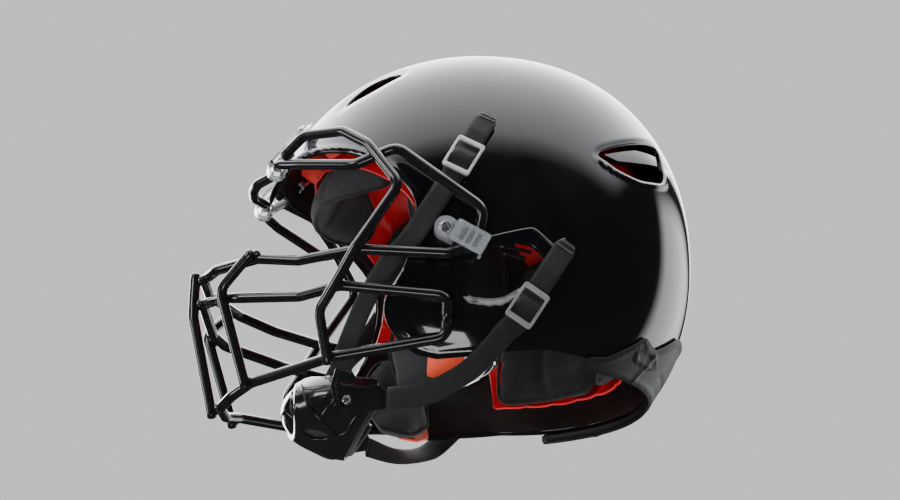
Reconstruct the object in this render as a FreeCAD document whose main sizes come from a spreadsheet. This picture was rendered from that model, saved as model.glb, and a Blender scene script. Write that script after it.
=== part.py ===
import FreeCAD, Part

import math
import os
import Sketcher

# American football helmet, in millimetres.
# +Z is up, the face opening looks along -Y and +X is the wearer's left.
# The origin lies under the middle of the head space, on the plane of the shell's lower edge.

Vec = FreeCAD.Vector
Rot = FreeCAD.Rotation
os.makedirs("parts", exist_ok=True)
doc = FreeCAD.newDocument("FootballHelmet")

SIZES = {
    # outer form of the shell
    "form_centre_y": 22.0, "form_centre_z": 95.0, "half_width": 115.0,
    "front_reach": 150.0, "rear_reach": 140.0, "crown_rise": 144.5, "lower_drop": 143.0,
    "side_pole_drop": 35.0, "shell_wall": 4.0,
    # layers inside the shell, as depths below its outer face
    "absorber_top": 4.6, "liner_top": 22.0, "liner_bottom": 24.5, "pad_top": 25.0, "pad_bottom": 41.0,
    # cage
    "wire_diameter": 7.0, "wire_bend": 11.0,
    "hinge_y": -122.0, "hinge_z": 145.0, "hinge_x": 42.0, "hook_gap": 0.35, "hook_wall": 2.9,
    "front_clip_width": 12.0, "clip_reach": 40.0, "side_clip_width": 15.4,
    # chin strap
    "strap_width": 14.5, "strap_thick": 1.7, "strap_lift": 1.3,
    "buckle_long": 26.0, "buckle_wide": 19.5, "buckle_thick": 2.2, "buckle_bar": 3.4,
    "cap_radius": 5.6, "cap_height": 1.9, "stud_radius": 2.6, "stud_head": 1.5,
    # chin cup
    "cup_x": 50.0, "cup_y": 53.0, "cup_z": 30.0, "cup_centre_y": -62.0, "cup_centre_z": -10.0,
    "cup_wall": 3.0, "cup_pad": 7.0, "rivet_y": -75.0, "rivet_z": -16.0, "rivet_radius": 3.6,
    # fasteners
    "screw_radius": 2.5, "screw_head_radius": 4.6, "screw_head": 2.4, "nut_radius": 6.5, "nut_flange": 1.5,
    "barrel_radius": 3.4,
}

sheet = doc.addObject("Spreadsheet::Sheet", "Sizes")
for row, (name, value) in enumerate(SIZES.items(), 1):
    sheet.set("A%d" % row, name)
    sheet.set("B%d" % row, str(value))
    sheet.setAlias("B%d" % row, name)
doc.recompute()
size = {name: float(sheet.get(name)) for name in SIZES}

WIDTH_POWER = 2.3          # fullness of the cross-section from side to side
TOP_FRONT_POWER = 2.05     # fullness of the side outline, quarter by quarter
TOP_REAR_POWER = 2.2
LOWER_POWER = 2.1
POLE_POWER = 6
POLE_TRIM = 0.9989         # the form stops just short of its side poles, inside the ear openings
SIDES = (("left", 1), ("right", -1))


# ---------------------------------------------------------------- document helpers

def feature(label, shape):
    """A sub-part whose shape is worked out by Part's own functions."""
    item = doc.addObject("Part::Feature", label)
    item.Label = label
    item.Shape = shape
    item.Placement = FreeCAD.Placement()
    return item


def group(label, shapes):
    """Several identical solids that share one sub-part."""
    return feature(label, Part.makeCompound(shapes))


def bind(item, **expressions):
    """Binds an object's properties to cells of the sheet."""
    for prop, text in expressions.items():
        item.setExpression(prop, text)


def plane_of(body, role):
    return next(f for f in body.Origin.OriginFeatures if f.Role == role)


def body_sketch(body, role, name):
    sketch = body.newObject("Sketcher::SketchObject", name)
    sketch.AttachmentSupport = (plane_of(body, role), "")
    sketch.MapMode = "FlatFace"
    return sketch


def add_rectangle(sketch, long_cell, wide_cell):
    """A rectangle centred on the sketch's origin, its sides bound to expressions."""
    corners = [Vec(-5, -5, 0), Vec(5, -5, 0), Vec(5, 5, 0), Vec(-5, 5, 0)]
    first = sketch.GeometryCount
    for i in range(4):
        sketch.addGeometry(Part.LineSegment(corners[i], corners[(i + 1) % 4]), False)
    for i in range(4):
        sketch.addConstraint(Sketcher.Constraint("Coincident", first + i, 2, first + (i + 1) % 4, 1))
    for i in (0, 2):
        sketch.addConstraint(Sketcher.Constraint("Horizontal", first + i))
        sketch.addConstraint(Sketcher.Constraint("Vertical", first + i + 1))
    sketch.addConstraint(Sketcher.Constraint("Symmetric", first, 1, first + 1, 2, -1, 1))
    along = sketch.addConstraint(Sketcher.Constraint("DistanceX", first, 1, first, 2, 10))
    across = sketch.addConstraint(Sketcher.Constraint("DistanceY", first + 1, 1, first + 1, 2, 10))
    sketch.setExpression("Constraints[%d]" % along, long_cell)
    sketch.setExpression("Constraints[%d]" % across, wide_cell)


def add_circle(sketch, radius_cell):
    index = sketch.addGeometry(Part.Circle(Vec(0, 0, 0), Vec(0, 0, 1), 2), False)
    sketch.addConstraint(Sketcher.Constraint("Coincident", index, 3, -1, 1))
    radius = sketch.addConstraint(Sketcher.Constraint("Radius", index, 2))
    sketch.setExpression("Constraints[%d]" % radius, radius_cell)


# ---------------------------------------------------------------- the helmet's outer form

def side_outline(angle, depth):
    """Distance from the form's centre to its side outline, less a depth below the outer face."""
    along, rise = math.cos(angle), math.sin(angle)
    reach = size["rear_reach"] if along > 0 else size["front_reach"]
    height = size["crown_rise"] if rise > 0 else size["lower_drop"]
    if rise > 0:
        power = TOP_REAR_POWER if along > 0 else TOP_FRONT_POWER
    else:
        power = LOWER_POWER
    total = abs(along / (reach - depth)) ** power + abs(rise / (height - depth)) ** power
    return total ** (-1 / power)


def form_point(angle, x, depth):
    """A point of the form at a side angle and a distance from the mid-plane."""
    share = min(abs(x) / (size["half_width"] - depth), 1)
    shrink = (1 - share ** WIDTH_POWER) ** (1 / WIDTH_POWER)
    radius = side_outline(angle, depth) * shrink
    drop = size["side_pole_drop"] * share ** POLE_POWER
    return Vec(x, size["form_centre_y"] + radius * math.cos(angle),
               size["form_centre_z"] - drop + radius * math.sin(angle))


def surface_x(y, z, depth=0.0):
    """Half width of the form at a place in the side view."""
    low, high = 0.0, (size["half_width"] - depth) * POLE_TRIM
    for _ in range(40):
        x = (low + high) / 2
        share = x / (size["half_width"] - depth)
        rise = z - size["form_centre_z"] + size["side_pole_drop"] * share ** POLE_POWER
        run = y - size["form_centre_y"]
        shrink = (1 - share ** WIDTH_POWER) ** (1 / WIDTH_POWER)
        if math.hypot(run, rise) < side_outline(math.atan2(rise, run), depth) * shrink:
            low = x
        else:
            high = x
    return low


def surface_normal(y, z):
    """Outward normal of the left side at a place in the side view."""
    step = 1.0
    slope_y = (surface_x(y + step, z) - surface_x(y - step, z)) / (2 * step)
    slope_z = (surface_x(y, z + step) - surface_x(y, z - step)) / (2 * step)
    return Vec(1, -slope_y, -slope_z).normalize()


def on_side(y, z, lift):
    """A point on the left side of the shell, lifted off its outer face."""
    return Vec(surface_x(y, z), y, z) + surface_normal(y, z) * lift


def form(depth):
    """The helmet's outer form shrunk by a depth, as a closed solid."""
    around, across = 40, 18
    reach = math.asin(POLE_TRIM)
    half = size["half_width"] - depth
    rows = []
    for j in range(across + 1):
        x = half * math.sin(-reach + 2 * reach * j / across)
        rows.append([form_point(-math.pi / 2 + 2 * math.pi * i / around, x, depth) for i in range(around)])
        rows[-1].append(Vec(rows[-1][0]))
    surface = Part.BSplineSurface()
    surface.interpolate(rows)
    skin = Part.Face(surface)
    ends = [Part.Face(Part.Wire(edge)) for edge in skin.Edges if edge.isClosed()
            and abs(edge.BoundBox.XLength) < 0.01]
    hull = Part.Shell([skin] + ends)
    hull.sewShape()
    solid = Part.Solid(hull)
    if solid.Volume < 0:
        solid.reverse()
    return solid


FORMS = {}


def layer(top, bottom):
    """The space between two depths of the form."""
    for depth in (top, bottom):
        if depth not in FORMS:
            FORMS[depth] = form(depth)
    return FORMS[top].cut(FORMS[bottom])


# ---------------------------------------------------------------- cutters

def loop_face(points, smooth):
    """A flat face inside a closed outline, smooth or straight-sided."""
    if smooth:
        curve = Part.BSplineCurve()
        curve.interpolate(points, PeriodicFlag=True)
        return Part.Face(Part.Wire(curve.toShape()))
    return Part.Face(Part.makePolygon(points + [points[0]]))


def side_prism(outline, x_from, x_to, smooth=False):
    """A side-view outline of (y, z) points carried from one x to another."""
    face = loop_face([Vec(x_from, y, z) for y, z in outline], smooth)
    return face.extrude(Vec(x_to - x_from, 0, 0))


def rear_prism(outline, y_from, y_to, smooth=False):
    """A rear-view outline of (x, z) points carried from one y to another."""
    face = loop_face([Vec(x, y_from, z) for x, z in outline], smooth)
    return face.extrude(Vec(0, y_to - y_from, 0))


def top_prism(outline, z_from, z_to, smooth=False):
    """A top-view outline of (x, y) points carried from one z to another."""
    face = loop_face([Vec(x, y, z_from) for x, y in outline], smooth)
    return face.extrude(Vec(0, 0, z_to - z_from))


def rounded(points, radius):
    """A flat outline in local (a, b) with its corners rounded by arcs, as edges in the XY plane."""
    edges = []
    count = len(points)
    trimmed = []
    for i in range(count):
        before, here, after = (Vec(*points[(i + k) % count], 0) for k in (-1, 0, 1))
        inward, outward = (before - here).normalize(), (after - here).normalize()
        half_turn = inward.getAngle(outward) / 2
        trim = radius / math.tan(half_turn)
        bisector = (inward + outward).normalize()
        middle = here + bisector * (radius / math.sin(half_turn) - radius)
        trimmed.append((here + inward * trim, middle, here + outward * trim))
    for i in range(count):
        start, middle, end = trimmed[i]
        edges.append(Part.Arc(start, middle, end).toShape())
        edges.append(Part.LineSegment(end, trimmed[(i + 1) % count][0]).toShape())
    return Part.Wire(edges)


def rounded_side(outline, radius, x_from, x_to):
    """A side-view outline with rounded corners carried from one x to another."""
    wire = rounded(outline, radius)
    turn = FreeCAD.Placement(Vec(x_from, 0, 0), Rot(Vec(0, 1, 0), Vec(0, 0, 1), Vec(1, 0, 0), "ZXY"))
    wire.Placement = turn
    return Part.Face(wire).extrude(Vec(x_to - x_from, 0, 0))


def mirrored(shape):
    """The same shape on the other side of the mid-plane."""
    return shape.mirror(Vec(0, 0, 0), Vec(1, 0, 0))


def pair(stem, shape):
    """The left piece and its mirror image on the right."""
    return [feature("%s_left" % stem, shape), feature("%s_right" % stem, mirrored(shape))]


def flip(point):
    return Vec(-point.x, point.y, point.z)


# ---------------------------------------------------------------- shell and its trim

FACE_EDGE = [(-150, 152), (-112, 152), (-88, 148), (-70, 140), (-54, 128), (-42, 114), (-38, 100), (-40, 80),
             (-45, 62), (-54, 46), (-57.5, 36), (-55, 25), (-47, 14), (-36, 5), (-22, 1)]
LOWER_EDGE = [(2, 2), (15, 4.5), (50, 8), (86, 6), (190, 6)]
EAR_OPENING = [(-4, 45), (3, 69), (17, 74.5), (27, 77), (37, 76.5), (43, 72), (47, 66), (42, 57), (34, 51),
               (25, 45), (17, 41), (5, 40.5)]
REAR_VENT = [(86, 148), (95, 154), (116, 163), (131, 167), (135, 155), (133, 139), (124, 135), (113, 134),
             (99, 138), (91, 143)]
FRONT_SLOT = [(50, -78), (42, -67), (40, -58), (46, -48), (56, -41), (58, -50), (58, -60), (55, -70)]
FAR = 260


def keep_region(edge_shift=0.0, lower_shift=0.0):
    """The part of the form that a layer keeps: behind the face edge and above the lower edge."""
    face_edge = [Vec(-FAR, y + edge_shift, z + edge_shift / 3) for y, z in FACE_EDGE]
    curve = Part.BSplineCurve()
    curve.interpolate(face_edge)
    lower = [Vec(-FAR, y, z + lower_shift) for y, z in LOWER_EDGE]
    corners = [face_edge[-1]] + lower + [Vec(-FAR, 190, FAR), Vec(-FAR, face_edge[0].y, FAR), face_edge[0]]
    rest = Part.makePolygon(corners)
    face = Part.Face(Part.Wire([curve.toShape()] + rest.Edges))
    return face.extrude(Vec(2 * FAR, 0, 0))


def make_shell():
    shell = layer(0.0, size["shell_wall"]).common(keep_region())
    cutters = [side_prism(EAR_OPENING, -FAR, FAR, smooth=True)]
    for sign in (1, -1):
        cutters.append(side_prism(REAR_VENT, sign * 30, sign * 130, smooth=True))
        cutters.append(top_prism([(sign * x, y) for x, y in FRONT_SLOT], 150, FAR, smooth=True))
        cutters.append(drill(frame_at(SIDE_SCREW, sign, 0), size["barrel_radius"] + 0.1))
        cutters.append(drill(front_screw_frame(sign, 0), size["barrel_radius"] + 0.1))
        for spot in STUDS:
            cutters.append(drill(frame_at(spot, sign, 0), 1.6))
    for cutter in cutters:
        shell = shell.cut(cutter)
    return feature("shell", shell)


SIDE_SCREW = (-18.8, 84.0)
CLIP_SLOPE = math.radians(48.7)    # slope of the front clips' plates over the brow
CLIP_AWAY = Vec(0, -math.sin(CLIP_SLOPE), math.cos(CLIP_SLOPE))
FRONT_SCREW = Vec(size["hinge_x"], -101.0, 167.8)
STUDS = ((8.0, 160.5), (56.5, 70.5))


def frame_at(spot, sign, lift):
    """Placement whose local Z leaves the shell at a place in the side view."""
    point = on_side(spot[0], spot[1], lift)
    normal = surface_normal(*spot)
    if sign < 0:
        point, normal = flip(point), flip(normal)
    return FreeCAD.Placement(point, Rot(Vec(0, 0, 1), normal))


def front_screw_frame(sign, lift):
    """Frame of a front clip's screw, square to the clip's plate."""
    point = FRONT_SCREW + CLIP_AWAY * lift
    return FreeCAD.Placement(point if sign > 0 else flip(point), Rot(Vec(0, 0, 1), CLIP_AWAY))


def drill(frame, radius):
    """A cylinder that goes right through the wall at a frame."""
    cutter = Part.makeCylinder(radius, 24, Vec(0, 0, -12))
    cutter.Placement = frame
    return cutter


def make_rear_bumper():
    """Rubber guard over the lower back edge, with two raised wings."""
    outline = [(-97, -6), (-97, 6.5), (-90, 9), (-78, 28), (-64, 23), (-42, 39), (0, 42), (42, 39), (64, 23),
               (78, 28), (90, 9), (97, 6.5), (97, -6)]
    outer = layer(-3.4, -0.35).common(rear_prism(outline, 78, 200))
    lip = layer(-3.4, 6.5).common(rear_prism([(-97, -1), (97, -1), (97, 5.6), (-97, 5.6)], 78, 200))
    return feature("rear_bumper", outer.fuse(lip).removeSplitter())


def make_front_bumper():
    """Rubber guard over the middle of the brow edge."""
    outline = [(-24, 141), (24, 141), (26, 166), (-26, 166)]
    outer = layer(-2.6, -0.35).common(rear_prism(outline, -160, -80))
    lip = layer(-2.6, 16).common(rear_prism([(-24, 141), (24, 141), (24, 148.5), (-24, 148.5)], -160, -80))
    return feature("front_bumper", outer.fuse(lip).removeSplitter())


def make_vent_fins():
    """Wedge fin inside each rear vent, which splits the air stream."""
    outline = [(90, 148.5), (114, 158), (131, 160), (131, 152), (116, 148), (100, 145.5)]
    fin = layer(2.4, 9.0).common(side_prism(outline, 30, 130))
    return pair("vent_fin", fin)


def make_nuts_and_studs():
    """Flanged nuts inside the shell and snap studs through its wall."""
    nut = doc.addObject("PartDesign::Body", "nut_body")
    sketch = body_sketch(nut, "XY_Plane", "nut_flange_outline")
    add_circle(sketch, "Sizes.nut_radius")
    pad = nut.newObject("PartDesign::Pad", "nut_flange_pad")
    pad.Profile = sketch
    bind(pad, Length="Sizes.nut_flange")
    barrel_sketch = body_sketch(nut, "XY_Plane", "nut_barrel_outline")
    add_circle(barrel_sketch, "Sizes.barrel_radius")
    barrel = nut.newObject("PartDesign::Pad", "nut_barrel_pad")
    barrel.Profile = barrel_sketch
    bind(barrel, Length="Sizes.nut_flange + Sizes.shell_wall")
    doc.recompute()
    depth = -size["shell_wall"] - size["nut_flange"]
    frames = [frame_at(SIDE_SCREW, sign, depth - 0.8) for sign in (1, -1)]
    frames += [front_screw_frame(sign, depth - 3.9) for sign in (1, -1)]
    copies = []
    for frame in frames:
        copy = nut.Shape.copy()
        copy.Placement = frame
        copies.append(copy)
    group("tee_nuts", copies)
    studs = []
    for spot in STUDS:
        for sign in (1, -1):
            stem = Part.makeCylinder(1.5, 7.2, Vec(0, 0, -5.8))
            head = Part.makeCylinder(size["stud_radius"], size["stud_head"], Vec(0, 0, 0.3))
            back = Part.makeCylinder(4.0, 1.2, Vec(0, 0, -6.0))
            stud = stem.fuse(head).fuse(back)
            stud.Placement = frame_at(spot, sign, 0)
            studs.append(stud)
    group("snap_studs", studs)


# ---------------------------------------------------------------- liner and pads

def make_liner():
    edge = layer(size["liner_top"], size["liner_bottom"]).common(keep_region(4, 14))
    wide_ear = [(28 + (y - 28) * 1.25, 60 + (z - 60) * 1.3) for y, z in EAR_OPENING]
    bonnet = edge.cut(side_prism(wide_ear, -FAR, FAR, smooth=True))
    return feature("liner_bonnet", bonnet.cut(side_prism(JAW_SPACE, -FAR, FAR)))


JAW_SPACE = [(-120, -40), (41, -40), (42, 30), (40, 50), (9, 50), (0, 60), (-120, 60)]


def pad_between(cutter, top=None, bottom=None):
    return layer(top or size["pad_top"], bottom or size["pad_bottom"]).common(cutter)


def make_pads():
    front = rounded_side([(-150, 129), (-98, 127), (-72, 126.5), (-50, 129), (-41, 146), (-52, 163), (-92, 174),
                          (-150, 174)], 5, -FAR, FAR)
    feature("front_pad", pad_between(front))
    crown = top_prism([(-36, -34), (-16, -46), (16, -46), (36, -34), (40, 60), (24, 86), (-24, 86), (-40, 60)],
                      120, FAR)
    feature("crown_pad", pad_between(crown))
    rear = rear_prism([(-36, 74), (36, 74), (34, 136), (-34, 136)], 60, 200)
    feature("rear_pad", pad_between(rear))
    neck = rear_prism([(-30, 24), (30, 24), (34, 70), (-34, 70)], 60, 200)
    feature("neck_pad", pad_between(neck))
    side = rounded_side([(-34, 92), (46, 88), (52, 108), (44, 152), (-18, 152), (-31, 140), (-38, 118)], 6, 20, 130)
    pair("side_pad", pad_between(side))
    rear_side = rounded_side([(46, 26), (112, 24), (114, 60), (109, 116), (84, 128), (62, 122), (58, 84), (48, 64)],
                             6, 36, 130)
    pair("rear_side_pad", pad_between(rear_side))
    jaw = rounded_side([(-49, 14), (-40, -7), (-18, -8), (-4, 6), (-4, 34), (-14, 54), (-36, 56), (-47, 40)],
                       6, 40, 130)
    pair("jaw_pad", pad_between(jaw, 10.5, 29.0))
    backing = rounded_side([(-45, 16), (-36, -3), (-14, -6), (4, 0), (8, 34), (-12, 52), (-34, 53), (-42, 38)],
                           5, 40, 130)
    pair("jaw_pad_backing", pad_between(backing, 8.2, 10.2))


def make_absorbers():
    """Crush cups in rows over the crown, the sides and the back."""
    space = layer(size["absorber_top"], size["liner_top"] - 0.4)
    for sign in (1, -1):
        space = space.cut(drill(front_screw_frame(sign, 0), size["nut_radius"] + 1))
    top_spots = [(-0.28, -0.45, 1), (0.28, -0.45, 1), (0, -0.05, 1), (-0.34, 0.32, 1), (0.34, 0.32, 1),
                 (-0.25, 1, -0.1), (0.25, 1, -0.1), (0, 1, 0.35), (-0.3, -1, 0.75), (0.3, -1, 0.75)]
    side_spots = [(1, -0.28, 0.42), (1, 0.1, 0.42), (1, 0.5, 0.3), (1, 0.75, -0.12), (1, 0.9, -0.42)]
    group("absorbers_top_and_back", [space.common(long_cup(d)) for d in top_spots])
    group("absorbers_left", [space.common(long_cup(d)) for d in side_spots])
    group("absorbers_right", [space.common(long_cup((-d[0], d[1], d[2]))) for d in side_spots])


def long_cup(direction):
    outward = Vec(*direction).normalize()
    cup = Part.makeCylinder(13, 100, Vec(0, 0, 60)).cut(Part.makeCylinder(9, 100, Vec(0, 0, 60)))
    cup.Placement = FreeCAD.Placement(Vec(0, size["form_centre_y"], size["form_centre_z"]),
                                      Rot(Vec(0, 0, 1), outward))
    return cup


# ---------------------------------------------------------------- cage

def wire_path(points, bend):
    """Straight runs joined by tangent arcs."""
    points = [Vec(*p) for p in points]
    edges, start = [], points[0]
    for i in range(1, len(points) - 1):
        before, here, after = points[i - 1], points[i], points[i + 1]
        inward, outward = (before - here).normalize(), (after - here).normalize()
        half_turn = inward.getAngle(outward) / 2
        limit = 0.45 * min((before - here).Length, (after - here).Length)
        radius = min(bend, limit * math.tan(half_turn))
        trim = radius / math.tan(half_turn)
        bisector = (inward + outward).normalize()
        middle = here + bisector * (radius / math.sin(half_turn) - radius)
        edges.append(Part.LineSegment(start, here + inward * trim).toShape())
        edges.append(Part.Arc(here + inward * trim, middle, here + outward * trim).toShape())
        start = here + outward * trim
    edges.append(Part.LineSegment(start, points[-1]).toShape())
    return Part.Wire(edges)


def round_wire(points, bend=None):
    """A steel wire swept along its path."""
    path = wire_path(points, bend or size["wire_bend"])
    first = Vec(*points[0])
    heading = (Vec(*points[1]) - first).normalize()
    profile = Part.Wire(Part.Circle(first, heading, size["wire_diameter"] / 2).toShape())
    tube = path.makePipeShell([profile], True, False)
    ideal = math.pi * (size["wire_diameter"] / 2) ** 2 * path.Length
    if abs(tube.Volume - ideal) > 0.02 * ideal:
        raise RuntimeError("a wire's volume is off: %.1f for %.1f" % (tube.Volume, ideal))
    return tube


def both_ways(half):
    """A path that runs from the left end to the mid-plane, carried on to the right end."""
    other = [(-x, y, z) for x, y, z in reversed(half) if x > 0]
    return half + other


LOOP_MIDDLE = (113.4, -18, 25)
BROW_BAR = [(118.9, 0.5, 72), (120.4, 6, 97), (118.2, -21, 117), (108.5, -50, 141.5), (98, -76, 131.5),
            (66, -111, 141), (52.5, -122, 145), (31.5, -122, 145), (14, -132, 144), (0, -133.5, 144)]
UPPER_BAR = [(118.7, -5.6, 71), (118.3, -17, 66.5), (108.5, -75, 70), (79, -111, 70), (64, -136, 75),
             (28, -160, 77.5), (0, -166, 79)]
MIDDLE_BAR = [LOOP_MIDDLE, (116.6, -18, 38.5), (101.5, -86, 47), (77, -110, 46), (54.5, -147, 50.5),
              (42, -156, 54), (0, -166.5, 62)]
LOWER_BAR = [LOOP_MIDDLE, (110.2, -18, 12), (86.5, -89, 3), (42, -137.5, -3.5), (26, -148, -8),
             (0, -154, -9.5)]
CENTRE_UPRIGHT = [(0, -171.7, 82), (0, -172.6, 62), (0, -172.6, 52), (0, -159.2, -15)]
SIDE_UPRIGHT = [(67.1, -141.1, 77.5), (50, -159.5, 57), (46, -141.4, -8)]
CORNER_UPRIGHT = [(58.5, -118.8, 149.4), (70, -107, 160), (91, -83.5, 157), (106.4, -69, 143.5), (119, -49.5, 112.5),
                  (114.4, -77.3, 70), (106.1, -90.2, 46), (99, -99.5, 30), (90, -92.3, -2)]


def make_cage():
    feature("brow_bar", round_wire(both_ways(BROW_BAR)))
    feature("upper_bar", round_wire(both_ways(UPPER_BAR)))
    feature("middle_bar", round_wire(both_ways(MIDDLE_BAR)))
    feature("lower_bar", round_wire(both_ways(LOWER_BAR)))
    feature("centre_upright", round_wire(CENTRE_UPRIGHT))
    pair("side_upright", round_wire(SIDE_UPRIGHT))
    pair("corner_upright", round_wire(CORNER_UPRIGHT))


# ---------------------------------------------------------------- cage clips

def make_front_clips():
    """Looped clips that hold the brow bar and let the cage swing up."""
    hinge = Vec(0, size["hinge_y"], size["hinge_z"])
    inner = size["wire_diameter"] / 2 + size["hook_gap"]
    width = size["front_clip_width"]
    for name, sign in SIDES:
        ring = doc.addObject("Part::Cylinder", "hook_%s" % name)
        bind(ring, Radius="Sizes.wire_diameter / 2 + Sizes.hook_gap + Sizes.hook_wall",
             Height="Sizes.front_clip_width")
        bore = doc.addObject("Part::Cylinder", "hook_bore_%s" % name)
        bind(bore, Radius="Sizes.wire_diameter / 2 + Sizes.hook_gap", Height="Sizes.front_clip_width")
        start = sign * size["hinge_x"] - width / 2
        for cylinder in (ring, bore):
            cylinder.Placement = FreeCAD.Placement(Vec(start, hinge.y, hinge.z), Rot(Vec(0, 0, 1), Vec(1, 0, 0)))
        plate = doc.addObject("Part::Box", "clip_plate_%s" % name)
        bind(plate, Length="Sizes.front_clip_width", Width="Sizes.clip_reach", Height="Sizes.hook_wall")
        base = hinge + CLIP_AWAY * inner
        plate.Placement = FreeCAD.Placement(Vec(start, base.y, base.z), Rot(Vec(1, 0, 0), math.degrees(CLIP_SLOPE)))
        whole = doc.addObject("Part::Fuse", "clip_whole_%s" % name)
        whole.Base, whole.Tool = ring, plate
        cut = doc.addObject("Part::Cut", "clip_bored_%s" % name)
        cut.Base, cut.Tool = whole, bore
        doc.recompute()
        boss = Part.makeCylinder(5.2, 4.4, Vec(0, 0, 0.9))
        boss.Placement = front_screw_frame(sign, 0)
        clip = cut.Shape.fuse(boss).cut(drill(front_screw_frame(sign, 0), size["screw_radius"] + 0.2))
        feature("front_clip_%s" % name, clip.cut(FORMS[-0.35]))


def clip_frame(sign):
    """Frame of a side clip: X along it towards the back, Y across it, Z away from the shell."""
    origin = Vec(surface_x(*SIDE_SCREW), *SIDE_SCREW)
    ahead = Vec(0.055, 0.879, -0.477).normalize()
    away = (Vec(1, 0, 0) - ahead * ahead.x).normalize()
    if sign < 0:
        origin, ahead, away = flip(origin), flip(ahead), flip(away)
    return FreeCAD.Placement(origin, Rot(ahead, away.cross(ahead), away, "ZXY"))


CLIP_PROFILE = [(-7.7, 0.9), (8.6, 0.9), (8.6, 11.4), (26.9, 11.4), (26.9, 3.4), (29.3, 3.4), (29.3, 13.6),
                (8, 13.6), (4.8, 9.8), (-7.7, 7.8)]


def make_side_clips():
    """Clear clips that hold the rear ends of the cage against the shell."""
    half = size["side_clip_width"] / 2
    for name, sign in SIDES:
        profile = loop_face([Vec(along, -half, away) for along, away in CLIP_PROFILE], False)
        block = profile.extrude(Vec(0, 2 * half, 0))
        outline = Part.makeCylinder(half, 30).fuse(Part.makeBox(30, 2 * half, 30, Vec(0, -half, 0)))
        clip = block.common(outline)
        clip = clip.cut(Part.makeCylinder(size["screw_radius"] + 0.2, 30, Vec(0, 0, -10)))
        clip = clip.cut(Part.makeCylinder(size["screw_head_radius"] + 0.3, 30, Vec(0, 0, 5.4)))
        feature("side_clip_%s" % name, clip.transformed(clip_frame(sign).toMatrix(), True))


def screw_solid(shank, recess):
    """Cross-slot screw along local Z, its head's underside at the local origin."""
    head = Part.makeCylinder(size["screw_head_radius"], size["screw_head"])
    stem = Part.makeCylinder(size["screw_radius"], shank + 1, Vec(0, 0, -shank))
    slot_long, slot_wide = 6.0, 1.2
    top = size["screw_head"] - recess
    slots = Part.makeBox(slot_long, slot_wide, 5, Vec(-slot_long / 2, -slot_wide / 2, top))
    slots = slots.fuse(Part.makeBox(slot_wide, slot_long, 5, Vec(-slot_wide / 2, -slot_long / 2, top)))
    return head.fuse(stem).cut(slots)


def make_screws():
    sides, fronts = [], []
    for _, sign in SIDES:
        side = screw_solid(4.9, 1.2)
        side.Placement = clip_frame(sign).multiply(FreeCAD.Placement(Vec(0, 0, 5.5), Rot()))
        sides.append(side)
        front = screw_solid(6.4, 1.2)
        front.Placement = front_screw_frame(sign, 8.0)
        fronts.append(front)
    group("side_clip_screws", sides)
    group("front_clip_screws", fronts)


# ---------------------------------------------------------------- chin strap

def ribbon(stations, width, thick):
    """A flat strap lofted through upright rectangles; a station is (centre, normal)."""
    wires = []
    count = len(stations)
    for i, (centre, normal) in enumerate(stations):
        before = stations[max(i - 1, 0)][0]
        after = stations[min(i + 1, count - 1)][0]
        run = (after - before).normalize()
        away = (normal - run * normal.dot(run)).normalize()
        across = run.cross(away)
        corners = [centre + across * (a * width / 2) + away * (b * thick / 2)
                   for a, b in ((-1, -1), (1, -1), (1, 1), (-1, 1))]
        wires.append(Part.makePolygon(corners + [corners[0]]))
    return Part.makeLoft(wires, True, True)


def side_station(y, z, lift):
    return on_side(y, z, lift), surface_normal(y, z)


UPPER_BUCKLE = (-6.0, 136.0)
LOWER_BUCKLE = (34.0, 34.0)
UPPER_TAB_END = (12.0, 167.5)
LOWER_TAB_END = (61.5, 78.0)
UPPER_FREE = [((110.2, -41.5, 77.5), (0.97, -0.24, -0.02)), ((104, -55.5, 62), (0.9, -0.43, 0)),
              ((85.5, -67, 43), (0.85, -0.52, 0)), ((69, -75.5, 22), (0.85, -0.5, 0)),
              ((55.5, -80, 4), (0.97, -0.2, 0))]
LOWER_FREE = [((107.2, 11, 5.5), (0.96, 0.1, -0.25)), ((102.6, 2, -3.5), (0.93, 0.05, -0.35)),
              ((93.5, -9, -10.5), (0.86, 0, -0.5)), ((75, -28, -16.5), (0.85, -0.25, -0.4)),
              ((58.5, -49.5, -15.5), (0.95, -0.3, -0.1))]


def between(a, b, share):
    return a[0] + (b[0] - a[0]) * share, a[1] + (b[1] - a[1]) * share


def strap_lift():
    return size["strap_lift"] + size["strap_thick"] / 2


def buckle_ends(buckle, tab_end):
    """Where the buckle's lower and upper bars lie in the side view."""
    run = math.hypot(tab_end[0] - buckle[0], tab_end[1] - buckle[1])
    reach = size["buckle_long"] / 2 / run
    return between(buckle, tab_end, -reach), between(buckle, tab_end, reach)


def make_straps():
    width, thick, lift = size["strap_width"], size["strap_thick"], strap_lift()
    routes = (("upper", UPPER_BUCKLE, UPPER_TAB_END, [(-21, 110), (-33, 90)], UPPER_FREE),
              ("lower", LOWER_BUCKLE, LOWER_TAB_END, [(20.5, 17.5)], LOWER_FREE))
    for name, buckle, tab_end, on_shell, free in routes:
        low, high = buckle_ends(buckle, tab_end)
        stations = [side_station(*between(high, low, s), lift) for s in (0, 0.5, 1)]
        previous = low
        for spot in on_shell:
            stations.append(side_station(*between(previous, spot, 0.5), lift))
            stations.append(side_station(*spot, lift))
            previous = spot
        stations += [(Vec(*c), Vec(*n).normalize()) for c, n in free]
        pair("%s_strap" % name, ribbon(stations, width, thick))
        start = between(high, tab_end, 0.03)
        tab = [side_station(*between(start, tab_end, s), lift + cap_space(s)) for s in (0, 0.35, 0.7, 1)]
        pair("%s_tab" % name, ribbon(tab, width, thick))


def cap_space(share):
    """How far a tab rises to make room for the snap cap under it."""
    return 1.5 * min(1, share / 0.35)


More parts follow.
